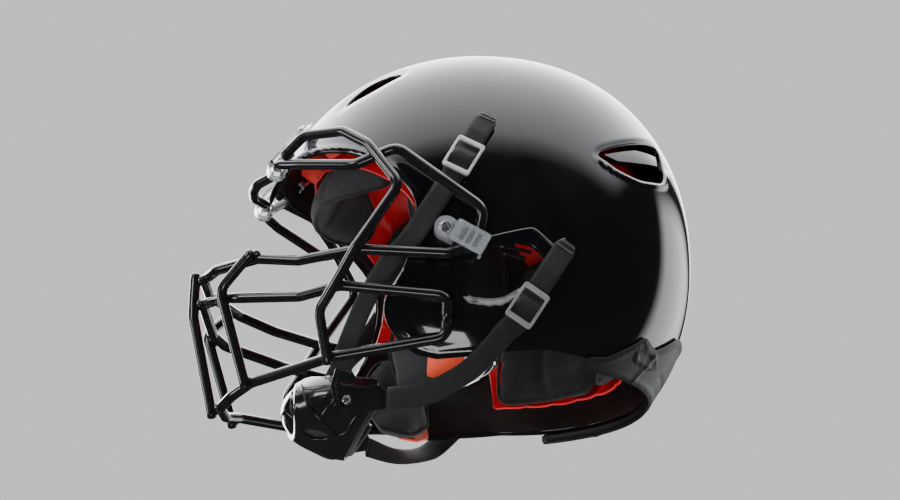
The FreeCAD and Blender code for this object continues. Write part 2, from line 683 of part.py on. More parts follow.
def make_buckles():
    """Four slide buckles: a frame with a bar across its middle."""
    for level, buckle, tab_end in (("upper", UPPER_BUCKLE, UPPER_TAB_END),
                                   ("lower", LOWER_BUCKLE, LOWER_TAB_END)):
        for name, sign in SIDES:
            body = doc.addObject("PartDesign::Body", "%s_buckle_%s" % (level, name))
            body.Label = "%s_buckle_%s" % (level, name)
            outline = body_sketch(body, "XY_Plane", "frame_outline")
            add_rectangle(outline, "Sizes.buckle_long", "Sizes.buckle_wide")
            pad = body.newObject("PartDesign::Pad", "frame_pad")
            pad.Profile = outline
            bind(pad, Length="Sizes.buckle_thick")
            doc.recompute()
            solid_volume = body.Shape.Volume
            window = body_sketch(body, "XY_Plane", "window_outline")
            add_rectangle(window, "Sizes.buckle_long - 2 * Sizes.buckle_bar",
                          "Sizes.buckle_wide - 2 * 1.9")
            pocket = body.newObject("PartDesign::Pocket", "window_pocket")
            pocket.Profile = window
            pocket.Type = "ThroughAll"
            pocket.Reversed = True
            doc.recompute()
            if body.Shape.Volume > solid_volume - 100:
                raise RuntimeError("the buckle's window is not cut")
            bar = body_sketch(body, "XY_Plane", "bar_outline")
            add_rectangle(bar, "3", "Sizes.buckle_wide - 2")
            rib = body.newObject("PartDesign::Pad", "bar_pad")
            rib.Profile = bar
            bind(rib, Length="Sizes.buckle_thick * 0.6")
            doc.recompute()
            body.Tip = rib
            body.Placement = strap_frame(buckle, tab_end, sign, size["strap_lift"] + size["strap_thick"] + 0.35)


def strap_frame(spot, towards, sign, lift):
    """Frame on the shell: X along the strap, Z away from the shell."""
    normal = surface_normal(*spot)
    origin = on_side(spot[0], spot[1], lift)
    run = on_side(*between(spot, towards, 0.3), lift) - origin
    run = (run - normal * run.dot(normal)).normalize()
    if sign < 0:
        origin, normal, run = flip(origin), flip(normal), flip(run)
    return FreeCAD.Placement(origin, Rot(run, normal.cross(run), normal, "ZXY"))


def make_caps():
    """Snap caps under the tabs, each a disc with a socket for its stud."""
    for level, spot in (("upper", STUDS[0]), ("lower", STUDS[1])):
        for name, sign in SIDES:
            body = doc.addObject("PartDesign::Body", "%s_snap_cap_%s" % (level, name))
            body.Label = "%s_snap_cap_%s" % (level, name)
            disc = body_sketch(body, "XY_Plane", "disc_outline")
            add_circle(disc, "Sizes.cap_radius")
            pad = body.newObject("PartDesign::Pad", "disc_pad")
            pad.Profile = disc
            bind(pad, Length="Sizes.cap_height")
            doc.recompute()
            full = body.Shape.Volume
            socket = body_sketch(body, "XY_Plane", "socket_outline")
            add_circle(socket, "Sizes.stud_radius + 0.45")
            pocket = body.newObject("PartDesign::Pocket", "socket_pocket")
            pocket.Profile = socket
            pocket.Reversed = True
            bind(pocket, Length="Sizes.cap_height - 0.1")
            doc.recompute()
            if body.Shape.Volume > full - 10:
                raise RuntimeError("the cap's socket is not cut")
            body.Tip = pocket
            body.Placement = frame_at(spot, sign, 0.45)


# ---------------------------------------------------------------- chin cup

def ellipsoid(shrink):
    """The chin cup's round form, shrunk by a wall."""
    ball = Part.makeSphere(1)
    grow = FreeCAD.Matrix()
    grow.scale(size["cup_x"] - shrink, size["cup_y"] - shrink, size["cup_z"] - shrink)
    ball = ball.transformGeometry(grow)
    ball.translate(Vec(0, size["cup_centre_y"], size["cup_centre_z"]))
    return ball


CUP_SIDE = [(-125, -50), (-76, -50), (-51, -8), (-56, 2), (-90, 6), (-104, 12), (-125, 12)]
PAD_SIDE = [(-125, -50), (-71, -50), (-47, -7), (-52, 6), (-90, 10), (-102, 14), (-125, 14)]


def make_chin_cup():
    wall, pad = size["cup_wall"], size["cup_pad"]
    cup = ellipsoid(0).cut(ellipsoid(wall)).common(side_prism(CUP_SIDE, -FAR, FAR))
    for sign in (1, -1):
        rivet_hole = Part.makeCylinder(size["rivet_radius"] - 1.7, 30, Vec(sign * 35, *RIVET), Vec(sign, 0, 0))
        cup = cup.cut(rivet_hole)
        for y, z, radius in ((-103, -12, 3.0), (-92, -31, 3.5)):
            slot = Part.makeCylinder(radius, 40, Vec(sign * 17, y - 15, z), Vec(0, 0.97, 0.22))
            cup = cup.cut(slot)
    feature("chin_cup", cup)
    soft = ellipsoid(wall + 0.4).cut(ellipsoid(wall + pad)).common(side_prism(PAD_SIDE, -FAR, FAR))
    feature("chin_cup_pad", soft)
    bracket = [(-86, -6), (-83, 6), (-75, 9), (-68, -2), (-54, -6), (-48, -10), (-49, -20), (-66, -24),
               (-78, -24), (-84, -17)]
    plate_x, plate = 51.0, 1.8
    arm = rounded_side(bracket, 2.0, plate_x, plate_x + plate)
    rivet_seat = Part.makeCylinder(size["rivet_radius"] - 1.55, 30, Vec(40, *RIVET), Vec(1, 0, 0))
    pair("strap_bracket", arm.cut(rivet_seat))
    rivets = []
    for sign in (1, -1):
        stem = Part.makeCylinder(size["rivet_radius"] - 1.75, 9.5, Vec(sign * 44.7, *RIVET), Vec(sign, 0, 0))
        head = Part.makeCylinder(size["rivet_radius"], 1.6, Vec(sign * (plate_x + plate + 0.3), *RIVET),
                                 Vec(sign, 0, 0))
        rivets.append(stem.fuse(head))
    group("cup_rivets", rivets)


RIVET = (size["rivet_y"], size["rivet_z"])

make_shell()
make_rear_bumper()
make_front_bumper()
make_vent_fins()
make_nuts_and_studs()
make_liner()
make_pads()
make_absorbers()
make_cage()
make_front_clips()
make_side_clips()
make_screws()
make_straps()
make_buckles()
make_caps()
make_chin_cup()
doc.recompute()

for item in doc.Objects:
    if "Invalid" in item.State or "Error" in item.State:
        raise RuntimeError("%s did not build" % item.Label)

HELPERS = ("nut_body",)
parts = [item for item in doc.Objects
         if (item.TypeId == "PartDesign::Body" or item.TypeId == "Part::Feature") and item.Name not in HELPERS]
for item in parts:
    if item.Shape.isNull() or not item.Shape.isValid():
        raise RuntimeError("%s has no valid shape" % item.Label)
    item.Shape.exportStep("parts/%s.step" % item.Label)
    print("%-26s solids %d volume %.0f" % (item.Label, len(item.Shape.Solids), item.Shape.Volume))
print("parts", len(parts))
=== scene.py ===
import math

import bmesh
import bpy
import numpy as np
from mathutils import Matrix, Vector


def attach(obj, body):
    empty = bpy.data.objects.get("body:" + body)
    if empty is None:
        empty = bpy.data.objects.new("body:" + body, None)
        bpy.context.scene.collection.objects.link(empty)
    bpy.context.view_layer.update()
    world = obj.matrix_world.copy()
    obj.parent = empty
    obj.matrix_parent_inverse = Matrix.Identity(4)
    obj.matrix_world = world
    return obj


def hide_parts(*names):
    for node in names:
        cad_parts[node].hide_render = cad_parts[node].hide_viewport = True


# American football helmet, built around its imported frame.
# Lengths are in millimetres until a mesh is made, then in metres.

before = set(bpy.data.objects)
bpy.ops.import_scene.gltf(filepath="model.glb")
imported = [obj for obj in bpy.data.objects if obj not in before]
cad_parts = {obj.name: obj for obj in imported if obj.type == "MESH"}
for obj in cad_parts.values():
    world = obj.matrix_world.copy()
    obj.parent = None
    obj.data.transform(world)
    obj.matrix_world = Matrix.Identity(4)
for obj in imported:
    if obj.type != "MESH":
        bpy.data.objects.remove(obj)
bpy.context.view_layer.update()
MM = 0.001
REARWARD, UPWARD, LEFTWARD = np.array([0, 1.0, 0]), np.array([0, 0, 1.0]), np.array([1.0, 0, 0])


# ---------------------------------------------------------------- the shell's own curve

CENTRE_Y, CENTRE_Z = 22.0, 95.0
HALF_WIDTH = 115.0
FRONT_REACH, REAR_REACH = 150.0, 140.0
CROWN_RISE, LOWER_DROP = 144.5, 143.0
SIDE_DROP = 35.0
POLE = 0.9989


def side_reach(angle, depth):
    """Radius of the helmet's side outline at an angle."""
    along, rise = np.cos(angle), np.sin(angle)
    reach = np.where(along > 0, REAR_REACH, FRONT_REACH) - depth
    height = np.where(rise > 0, CROWN_RISE, LOWER_DROP) - depth
    power = np.where(rise > 0, np.where(along > 0, 2.2, 2.05), 2.1)
    return (np.abs(along / reach) ** power + np.abs(rise / height) ** power) ** (-1 / power)


def curve_of_shell(angle, x, depth=0.0):
    """Points of the helmet's form; angle runs round the side view, x across."""
    share = np.clip(np.abs(x) / (HALF_WIDTH - depth), 0, POLE)
    radius = side_reach(angle, depth) * (1 - share ** 2.3) ** (1 / 2.3)
    drop = SIDE_DROP * share ** 6
    return np.stack([x + 0 * radius, CENTRE_Y + radius * np.cos(angle),
                     CENTRE_Z - drop + radius * np.sin(angle)], -1)


def half_width(y, z, depth=0.0):
    """Half width of the form at places in the side view."""
    y, z = np.asarray(y, float), np.asarray(z, float)
    low, high = np.zeros_like(y + z), np.full_like(y + z, (HALF_WIDTH - depth) * POLE)
    for _ in range(34):
        x = (low + high) / 2
        share = x / (HALF_WIDTH - depth)
        rise = z - CENTRE_Z + SIDE_DROP * share ** 6
        run = y - CENTRE_Y
        reach = side_reach(np.arctan2(rise, run), depth) * (1 - share ** 2.3) ** (1 / 2.3)
        inside = np.hypot(run, rise) < reach
        low, high = np.where(inside, x, low), np.where(inside, high, x)
    return low


def side_normal(y, z):
    """Outward direction of the left side at a place in the side view."""
    by_y = (half_width(y + 1, z) - half_width(y - 1, z)) / 2
    by_z = (half_width(y, z + 1) - half_width(y, z - 1)) / 2
    away = np.array([1.0, -by_y, -by_z])
    return away / np.linalg.norm(away)


def on_side(y, z, lift):
    return np.array([half_width(y, z), y, z], float) + side_normal(y, z) * lift


# ---------------------------------------------------------------- drawing helpers

def smooth_line(points, closed=False, steps=10):
    """A smooth line through points, as many short runs."""
    pts = np.array(points, float)
    count = len(pts)
    out = []
    spans = count if closed else count - 1
    for i in range(spans):
        if closed:
            a, b, c, d = (pts[(i + k) % count] for k in (-1, 0, 1, 2))
        else:
            b, c = pts[i], pts[i + 1]
            a = pts[i - 1] if i else 2 * b - c
            d = pts[i + 2] if i + 2 < count else 2 * c - b
        for t in np.arange(steps) / steps:
            out.append(0.5 * ((2 * b) + (c - a) * t + (2 * a - 5 * b + 4 * c - d) * t * t
                              + (3 * b - a - 3 * c + d) * t ** 3))
    if not closed:
        out.append(pts[-1])
    return np.array(out)


def inside_by(places, line):
    """How far places lie inside a closed flat line; negative outside it."""
    places = np.asarray(places, float)
    flat = places.reshape(-1, 2)
    best = np.full(len(flat), 1e9)
    crossings = np.zeros(len(flat), int)
    for p, q in zip(line, np.roll(line, -1, axis=0)):
        run = q - p
        t = np.clip(((flat - p) @ run) / max(run @ run, 1e-12), 0, 1)
        best = np.minimum(best, np.hypot(*(flat - p - t[:, None] * run).T))
        straddles = (p[1] > flat[:, 1]) != (q[1] > flat[:, 1])
        with np.errstate(divide="ignore", invalid="ignore"):
            at = (q[0] - p[0]) * (flat[:, 1] - p[1]) / (q[1] - p[1]) + p[0]
        crossings += straddles & (flat[:, 0] < at)
    return np.where(crossings % 2 == 1, best, -best).reshape(places.shape[:-1])


def near_line(places, line):
    """Distance from places to an open flat line."""
    places = np.asarray(places, float)
    flat = places.reshape(-1, 2)
    best = np.full(len(flat), 1e9)
    for p, q in zip(line[:-1], line[1:]):
        run = q - p
        t = np.clip(((flat - p) @ run) / max(run @ run, 1e-12), 0, 1)
        best = np.minimum(best, np.hypot(*(flat - p - t[:, None] * run).T))
    return best.reshape(places.shape[:-1])


def step_up(value, low, high):
    """0 below low, 1 above high, eased between."""
    t = np.clip((value - low) / (high - low), 0, 1)
    return t * t * (3 - 2 * t)


def make_piece(name, points, faces, material, smooth=True):
    """A mesh piece from points in millimetres."""
    mesh = bpy.data.meshes.new(name)
    mesh.from_pydata([tuple(p) for p in np.asarray(points, float) * MM], [], faces)
    mesh.validate()
    mesh.shade_smooth() if smooth else mesh.shade_flat()
    piece = bpy.data.objects.new(name, mesh)
    bpy.context.collection.objects.link(piece)
    for one in material if isinstance(material, (list, tuple)) else [material]:
        piece.data.materials.append(one)
    return piece


def soften(piece, width, segments=2, angle=35):
    """Rounded edges on a piece."""
    bevel = piece.modifiers.new("rounded_edges", "BEVEL")
    bevel.width, bevel.segments = width * MM, segments
    bevel.limit_method, bevel.angle_limit = "ANGLE", math.radians(angle)
    bevel.harden_normals = True
    return piece


def mirror_piece(piece, name):
    """The same piece on the helmet's right."""
    mesh = piece.data.copy()
    mesh.transform(Matrix.Scale(-1, 4, Vector((1, 0, 0))))
    mesh.flip_normals()
    other = bpy.data.objects.new(name, mesh)
    bpy.context.collection.objects.link(other)
    for source in piece.modifiers:
        if source.type == "BEVEL":
            bevel = other.modifiers.new(source.name, "BEVEL")
            bevel.width, bevel.segments = source.width, source.segments
            bevel.limit_method, bevel.angle_limit = source.limit_method, source.angle_limit
            bevel.harden_normals = source.harden_normals
    return other


def fit(piece, body, slot, *nodes):
    """Puts a piece on its body and lets it stand for its CAD nodes."""
    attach(piece, body)
    if nodes:
        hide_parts(*nodes)
    return piece


def both_sides(piece, stem, body, slot, node_stem=None):
    """Fits a left piece and its mirror image, each for its own CAD node."""
    twin = mirror_piece(piece, "%s_right" % stem)
    node_stem = node_stem or stem
    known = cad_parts
    for one, side in ((piece, "left"), (twin, "right")):
        node = "%s_%s" % (node_stem, side)
        home = body % side if "%s" in body else body
        fit(one, home, slot, *([node] if node in known else []))
    return twin


def pair_up(piece, stem, body, slot, *nodes):
    """Fits a left piece and its mirror image where one CAD node holds both."""
    twin = mirror_piece(piece, stem + "_right")
    fit(piece, body.replace("%s", "left"), slot, *nodes)
    fit(twin, body.replace("%s", "right"), slot)


# ---------------------------------------------------------------- moulded sheets with cut outlines

def moulded_sheet(place, keep, rows, columns, ring):
    """A fine sheet of place(a, b) trimmed to where keep(points) is positive.

    a runs over rows (joined end to end if ring), b over columns. Returns the (a, b) pairs and faces.
    """
    a_count, b_count = len(rows), len(columns)
    a_grid, b_grid = np.meshgrid(np.arange(float(a_count)), np.arange(float(b_count)), indexing="ij")

    def real(i, j):
        a_line = np.append(rows, rows[0] + 2 * math.pi) if ring else rows
        return (np.interp(i, np.arange(len(a_line)), a_line), np.interp(j, np.arange(b_count), columns))

    def value(i, j):
        return keep(place(*real(i, j)))

    i, j = a_grid.ravel().copy(), b_grid.ravel().copy()
    f = value(i, j)
    for _ in range(2):
        near = np.abs(f) < 6
        step = 0.25
        gi = (value(i[near] + step, j[near]) - value(i[near] - step, j[near])) / (2 * step)
        gj = (value(i[near], j[near] + step) - value(i[near], j[near] - step)) / (2 * step)
        size = gi ** 2 + gj ** 2 + 1e-9
        di, dj = -f[near] * gi / size, -f[near] * gj / size
        close = np.hypot(i[near] + di - a_grid.ravel()[near], j[near] + dj - b_grid.ravel()[near]) < 0.42
        spots = np.where(near)[0][close]
        i[spots] += di[close]
        j[spots] += dj[close]
        f = value(i, j)
    f[np.abs(f) < 0.02] = 0.0
    pairs = list(zip(i, j))
    f = list(f)
    faces, cuts = [], {}

    def cut(p, q):
        key = (min(p, q), max(p, q))
        if key not in cuts:
            (pi, pj), (qi, qj) = pairs[p], pairs[q]
            if abs(pi - qi) > a_count / 2:
                qi += a_count if pi > qi else -a_count
            low, high, f_low = 0.0, 1.0, f[p]
            for _ in range(14):
                middle = (low + high) / 2
                v = value(np.array([pi + (qi - pi) * middle]), np.array([pj + (qj - pj) * middle]))[0]
                if (v > 0) == (f_low > 0):
                    low = middle
                else:
                    high = middle
            cuts[key] = len(pairs)
            pairs.append((pi + (qi - pi) * low, pj + (qj - pj) * low))
            f.append(0.0)
        return cuts[key]

    last = a_count if ring else a_count - 1
    for r in range(last):
        for c in range(b_count - 1):
            s = (r + 1) % a_count
            loop = [r * b_count + c, s * b_count + c, s * b_count + c + 1, r * b_count + c + 1]
            values = [f[k] for k in loop]
            if min(values) >= 0 and max(values) > 0:
                faces.append(loop)
            elif max(values) > 0:
                trimmed = []
                for k in range(4):
                    p, q = loop[k], loop[(k + 1) % 4]
                    if f[p] >= 0:
                        trimmed.append(p)
                    if (f[p] > 0 > f[q]) or (f[p] < 0 < f[q]):
                        trimmed.append(cut(p, q))
                if len(trimmed) >= 3:
                    faces.append(trimmed)
    used = sorted({k for face in faces for k in face})
    new = {k: n for n, k in enumerate(used)}
    faces = [[new[k] for k in face] for face in faces]
    kept = np.array([pairs[k] for k in used])
    a, b = real(kept[:, 0] % a_count if ring else kept[:, 0], kept[:, 1])
    return a, b, faces


def open_edges(faces):
    """Edges with a face on one side only, in the face's own direction."""
    seen = {}
    for face in faces:
        for p, q in zip(face, face[1:] + face[:1]):
            seen[(p, q)] = seen.get((p, q), 0) + 1
    return [(p, q) for (p, q) in seen if (q, p) not in seen]


def thick_sheet(name, outer, outer_normals, faces, wall, rim, materials, inner_slot=0, steps=4):
    """Closes a sheet to a wall with a rounded rim. Points are the outer face drawn in by rim."""
    count = len(outer)
    edges = open_edges(faces)
    after = dict(edges)
    before = {q: p for p, q in edges}
    rim_spots = sorted(after)
    side = np.zeros((count, 3))
    for p in rim_spots:
        a = outer[before.get(p, p)]
        b = outer[after[p]]
        along = (b - a) / max(np.linalg.norm(b - a), 1e-9)
        side[p] = np.cross(along, outer_normals[p])
    for _ in range(3):
        fresh = side.copy()
        for p in rim_spots:
            fresh[p] = side[p] * 2 + side[before.get(p, p)] + side[after[p]]
        side = fresh
        lengths = np.linalg.norm(side, axis=1, keepdims=True)
        side = np.where(lengths > 0, side / np.maximum(lengths, 1e-9), side)
    points = [outer, outer - outer_normals * wall]
    normals = [outer_normals, -outer_normals]
    index = {p: k for k, p in enumerate(rim_spots)}
    spots = np.array(rim_spots)
    turns = [math.pi / 2 * s / steps for s in range(1, steps + 1)]
    profile = [(math.sin(t) * rim, (1 - math.cos(t)) * rim, t) for t in turns]
    profile += [(rim, wall / 2, math.pi / 2)]
    profile += [(p[0], wall - p[1], math.pi - p[2]) for p in reversed(profile[:steps])]
    for out, down, turn in profile:
        points.append(outer[spots] + side[spots] * out - outer_normals[spots] * down)
        normals.append(side[spots] * math.sin(turn) + outer_normals[spots] * math.cos(turn))
    all_points, all_normals = np.concatenate(points), np.concatenate(normals)
    all_faces = [list(face) for face in faces]
    inner_from = len(all_faces)
    all_faces += [[k + count for k in reversed(face)] for face in faces]
    rim_from = len(all_faces)
    base = 2 * count
    strips = [None] + [base + n * len(spots) for n in range(len(profile))] + ["inner"]

    def at(row, p):
        if strips[row] is None:
            return p
        if strips[row] == "inner":
            return p + count
        return strips[row] + index[p]

    for p, q in edges:
        for row in range(len(strips) - 1):
            all_faces.append([at(row, q), at(row, p), at(row + 1, p), at(row + 1, q)])
    piece = make_piece(name, all_points, all_faces, materials)
    if inner_slot:
        slots = np.zeros(len(all_faces), int)
        slots[inner_from:rim_from] = inner_slot
        if len(piece.data.polygons) == len(slots):
            piece.data.polygons.foreach_set("material_index", slots)
    if len(piece.data.vertices) == len(all_normals):
        lengths = np.maximum(np.linalg.norm(all_normals, axis=1, keepdims=True), 1e-9)
        piece.data.normals_split_custom_set_from_vertices([tuple(n) for n in all_normals / lengths])
    return piece


# ---------------------------------------------------------------- wires, straps and plates

def tube_faces(rows, sides):
    """Faces of a run of rings, with both ends closed."""
    faces = []
    for r in range(rows - 1):
        for s in range(sides):
            n = (s + 1) % sides
            faces.append([r * sides + s, r * sides + n, (r + 1) * sides + n, (r + 1) * sides + s])
    faces.append(list(range(sides))[::-1])
    faces.append([(rows - 1) * sides + s for s in range(sides)])
    return faces


def bent_path(points, bend, step=1.6):
    """Straight runs joined by tangent arcs, as close points."""
    pts = [np.array(p, float) for p in points]
    out = [pts[0]]

    def run_to(target):
        start = out[-1]
        length = np.linalg.norm(target - start)
        count = max(1, int(length / (step * 2.2)))
        for k in range(1, count + 1):
            out.append(start + (target - start) * k / count)

    for i in range(1, len(pts) - 1):
        before, here, after = pts[i - 1], pts[i], pts[i + 1]
        la, lb = np.linalg.norm(before - here), np.linalg.norm(after - here)
        u, v = (before - here) / la, (after - here) / lb
        half = math.acos(max(-1, min(1, float(u @ v)))) / 2
        radius = min(bend, 0.45 * min(la, lb) * math.tan(half))
        trim = radius / math.tan(half)
        run_to(here + u * trim)
        bisector = (u + v) / max(np.linalg.norm(u + v), 1e-9)
        hub = here + bisector * radius / math.sin(half)
        first, last = here + u * trim - hub, here + v * trim - hub
        sweep = math.pi - 2 * half
        count = max(2, int(radius * sweep / step))
        for k in range(1, count + 1):
            t = k / count
            blend = first * math.sin((1 - t) * sweep) + last * math.sin(t * sweep)
            blend = blend / max(math.sin(sweep), 1e-9)
            out.append(hub + blend)
    run_to(pts[-1])
    return np.array(out)


def round_bar(name, path, radius, material, sides=20, domed=True):
    """A round bar along close points, with domed ends."""
    path = np.asarray(path, float)
    tangents = np.gradient(path, axis=0)
    tangents /= np.linalg.norm(tangents, axis=1, keepdims=True)
    rings, sizes = [path[k] for k in range(len(path))], [radius] * len(path)
    heads = [tangents[k] for k in range(len(path))]
    if domed:
        for turn in (30, 58, 80):
            t = math.radians(turn)
            back, size = 1 - math.sin(t) * 0.999, math.cos(t)
            rings.insert(0, path[0] - tangents[0] * radius * 0.55 * (1 - back))
            sizes.insert(0, radius * max(size, 0.05))
            heads.insert(0, tangents[0])
            rings.append(path[-1] + tangents[-1] * radius * 0.55 * (1 - back))
            sizes.append(radius * max(size, 0.05))
            heads.append(tangents[-1])
    across = np.cross(heads[0], (0, 0, 1.0))
    if np.linalg.norm(across) < 0.1:
        across = np.cross(heads[0], (0, 1.0, 0))
    points = []
    for centre, size, head in zip(rings, sizes, heads):
        across = across - head * (across @ head)
        across /= np.linalg.norm(across)
        up = np.cross(head, across)
        for s in range(sides):
            t = 2 * math.pi * s / sides
            points.append(centre + size * (across * math.cos(t) + up * math.sin(t)))
    return make_piece(name, points, tube_faces(len(rings), sides), material)


def frame_of(origin, along, away):
    """Axes of a fitting: along it, across it and away from the shell."""
    away = np.asarray(away, float) / np.linalg.norm(away)
    along = np.asarray(along, float)
    along = along - away * (along @ away)
    along /= np.linalg.norm(along)
    return np.asarray(origin, float), along, np.cross(away, along), away


def place_in(axes, points):
    """Local (along, across, away) points carried to the helmet."""
    origin, along, across, away = axes
    pts = np.asarray(points, float)
    return origin + pts[:, :1] * along + pts[:, 1:2] * across + pts[:, 2:3] * away


def rounded_outline(corners, radius, steps=4):
    """A closed flat outline with its corners rounded."""
    pts = [np.array(c, float) for c in corners]
    out = []
    for i, here in enumerate(pts):
        before, after = pts[i - 1], pts[(i + 1) % len(pts)]
        r = radius[i] if isinstance(radius, (list, tuple)) else radius
        la, lb = np.linalg.norm(before - here), np.linalg.norm(after - here)
        u, v = (before - here) / la, (after - here) / lb
        half = math.acos(max(-1, min(1, float(u @ v)))) / 2
        r = min(r, 0.48 * min(la, lb) * math.tan(half))
        trim = r / math.tan(half)
        for k in range(steps + 1):
            t = k / steps
            a, c = here + u * trim, here + v * trim
            out.append((1 - t) ** 2 * a + 2 * t * (1 - t) * here + t * t * c)
    return np.array(out)


def circle(radius, count, middle=(0.0, 0.0)):
    """A closed round outline of count points."""
    return [(middle[0] + radius * math.cos(t), middle[1] + radius * math.sin(t))
            for t in np.linspace(0, 2 * math.pi, count + 1)[:-1]]


def box_outline(long, wide, radius, steps=4):
    a, b = long / 2, wide / 2
    return rounded_outline([(-a, -b), (a, -b), (a, b), (-a, b)], radius, steps)


def panel(start, end, half, radius):
    """A rounded panel outline from start to end along, half either way across."""
    return rounded_outline([(start, -half), (end, -half), (end, half), (start, half)], radius)


def plate(axes, outline, low, high, holes=()):
    """Points and faces of a flat plate with holes, as (points, faces)."""
    build = bmesh.new()
    loops = [np.asarray(outline, float)] + [np.asarray(h, float) for h in holes]
    edges = []
    for loop in loops:
        verts = [build.verts.new((p[0], p[1], low)) for p in loop]
        edges += [build.edges.new((verts[k], verts[(k + 1) % len(verts)])) for k in range(len(verts))]
    bmesh.ops.triangle_fill(build, edges=edges, use_beauty=True)
    bmesh.ops.dissolve_limit(build, angle_limit=0.01, verts=build.verts, edges=build.edges)
    raised = bmesh.ops.extrude_face_region(build, geom=build.faces[:])
    for v in raised["geom"]:
        if isinstance(v, bmesh.types.BMVert):
            v.co.z = high
    bmesh.ops.recalc_face_normals(build, faces=build.faces)
    build.verts.index_update()
    points = np.array([tuple(v.co) for v in build.verts])
    faces = [[v.index for v in f.verts] for f in build.faces]
    build.free()
    return place_in(axes, points), faces


def gather(*parts):
    """Joins (points, faces) lists into one."""
    points, faces, base = [], [], 0
    for pts, fcs in parts:
        points.append(np.asarray(pts, float))
        faces += [[k + base for k in face] for face in fcs]
        base += len(pts)
    return np.concatenate(points), faces


def turned(axes, profile, sides=36):
    """A part turned about its away axis; profile is (radius, height) from the middle of one end."""
    points = []
    for radius, height in profile:
        for s in range(sides):
            t = 2 * math.pi * s / sides
            points.append((radius * math.cos(t), radius * math.sin(t), height))
    return place_in(axes, points), tube_faces(len(profile), sides)


# ---------------------------------------------------------------- finishes

def new_group(name, inputs, outputs):
    """A shader node group with named number, colour or vector sockets."""
    tree = bpy.data.node_groups.new(name, "ShaderNodeTree")
    kinds = {"f": "NodeSocketFloat", "c": "NodeSocketColor", "v": "NodeSocketVector"}
    for label, kind, default in inputs:
        socket = tree.interface.new_socket(name=label, in_out="INPUT", socket_type=kinds[kind])
        if default is not None:
            socket.default_value = default
    for label, kind in outputs:
        tree.interface.new_socket(name=label, in_out="OUTPUT", socket_type=kinds[kind])
    return tree, tree.nodes.new("NodeGroupInput"), tree.nodes.new("NodeGroupOutput")


def noise_node(tree, scale, detail=4.0, roughness=0.55, vector=None):
    node = tree.nodes.new("ShaderNodeTexNoise")
    node.inputs["Detail"].default_value = detail
    node.inputs["Roughness"].default_value = roughness
    if hasattr(scale, "links"):
        tree.links.new(scale, node.inputs["Scale"])
    else:
        node.inputs["Scale"].default_value = scale
    if vector is not None:
        tree.links.new(vector, node.inputs["Vector"])
    return node


def maths(tree, kind, a, b=None, clamp=False):
    node = tree.nodes.new("ShaderNodeMath")
    node.operation, node.use_clamp = kind, clamp
    for slot_at, value in ((0, a), (1, b)):
        if value is None:
            continue
        if hasattr(value, "links"):
            tree.links.new(value, node.inputs[slot_at])
        else:
            node.inputs[slot_at].default_value = value
    return node.outputs[0]


def spread(tree, value, low, high, to_low=0.0, to_high=1.0):
    node = tree.nodes.new("ShaderNodeMapRange")
    tree.links.new(value, node.inputs["Value"])
    for label, number in (("From Min", low), ("From Max", high), ("To Min", to_low), ("To Max", to_high)):
        if hasattr(number, "links"):
            tree.links.new(number, node.inputs[label])
        else:
            node.inputs[label].default_value = number
    return node.outputs["Result"]


def blend_colour(tree, share, first, second):
    node = tree.nodes.new("ShaderNodeMix")
    node.data_type = "RGBA"
    for label, value in ((0, share), (6, first), (7, second)):
        if hasattr(value, "links"):
            tree.links.new(value, node.inputs[label])
        else:
            node.inputs[label].default_value = value
    return node.outputs[2]


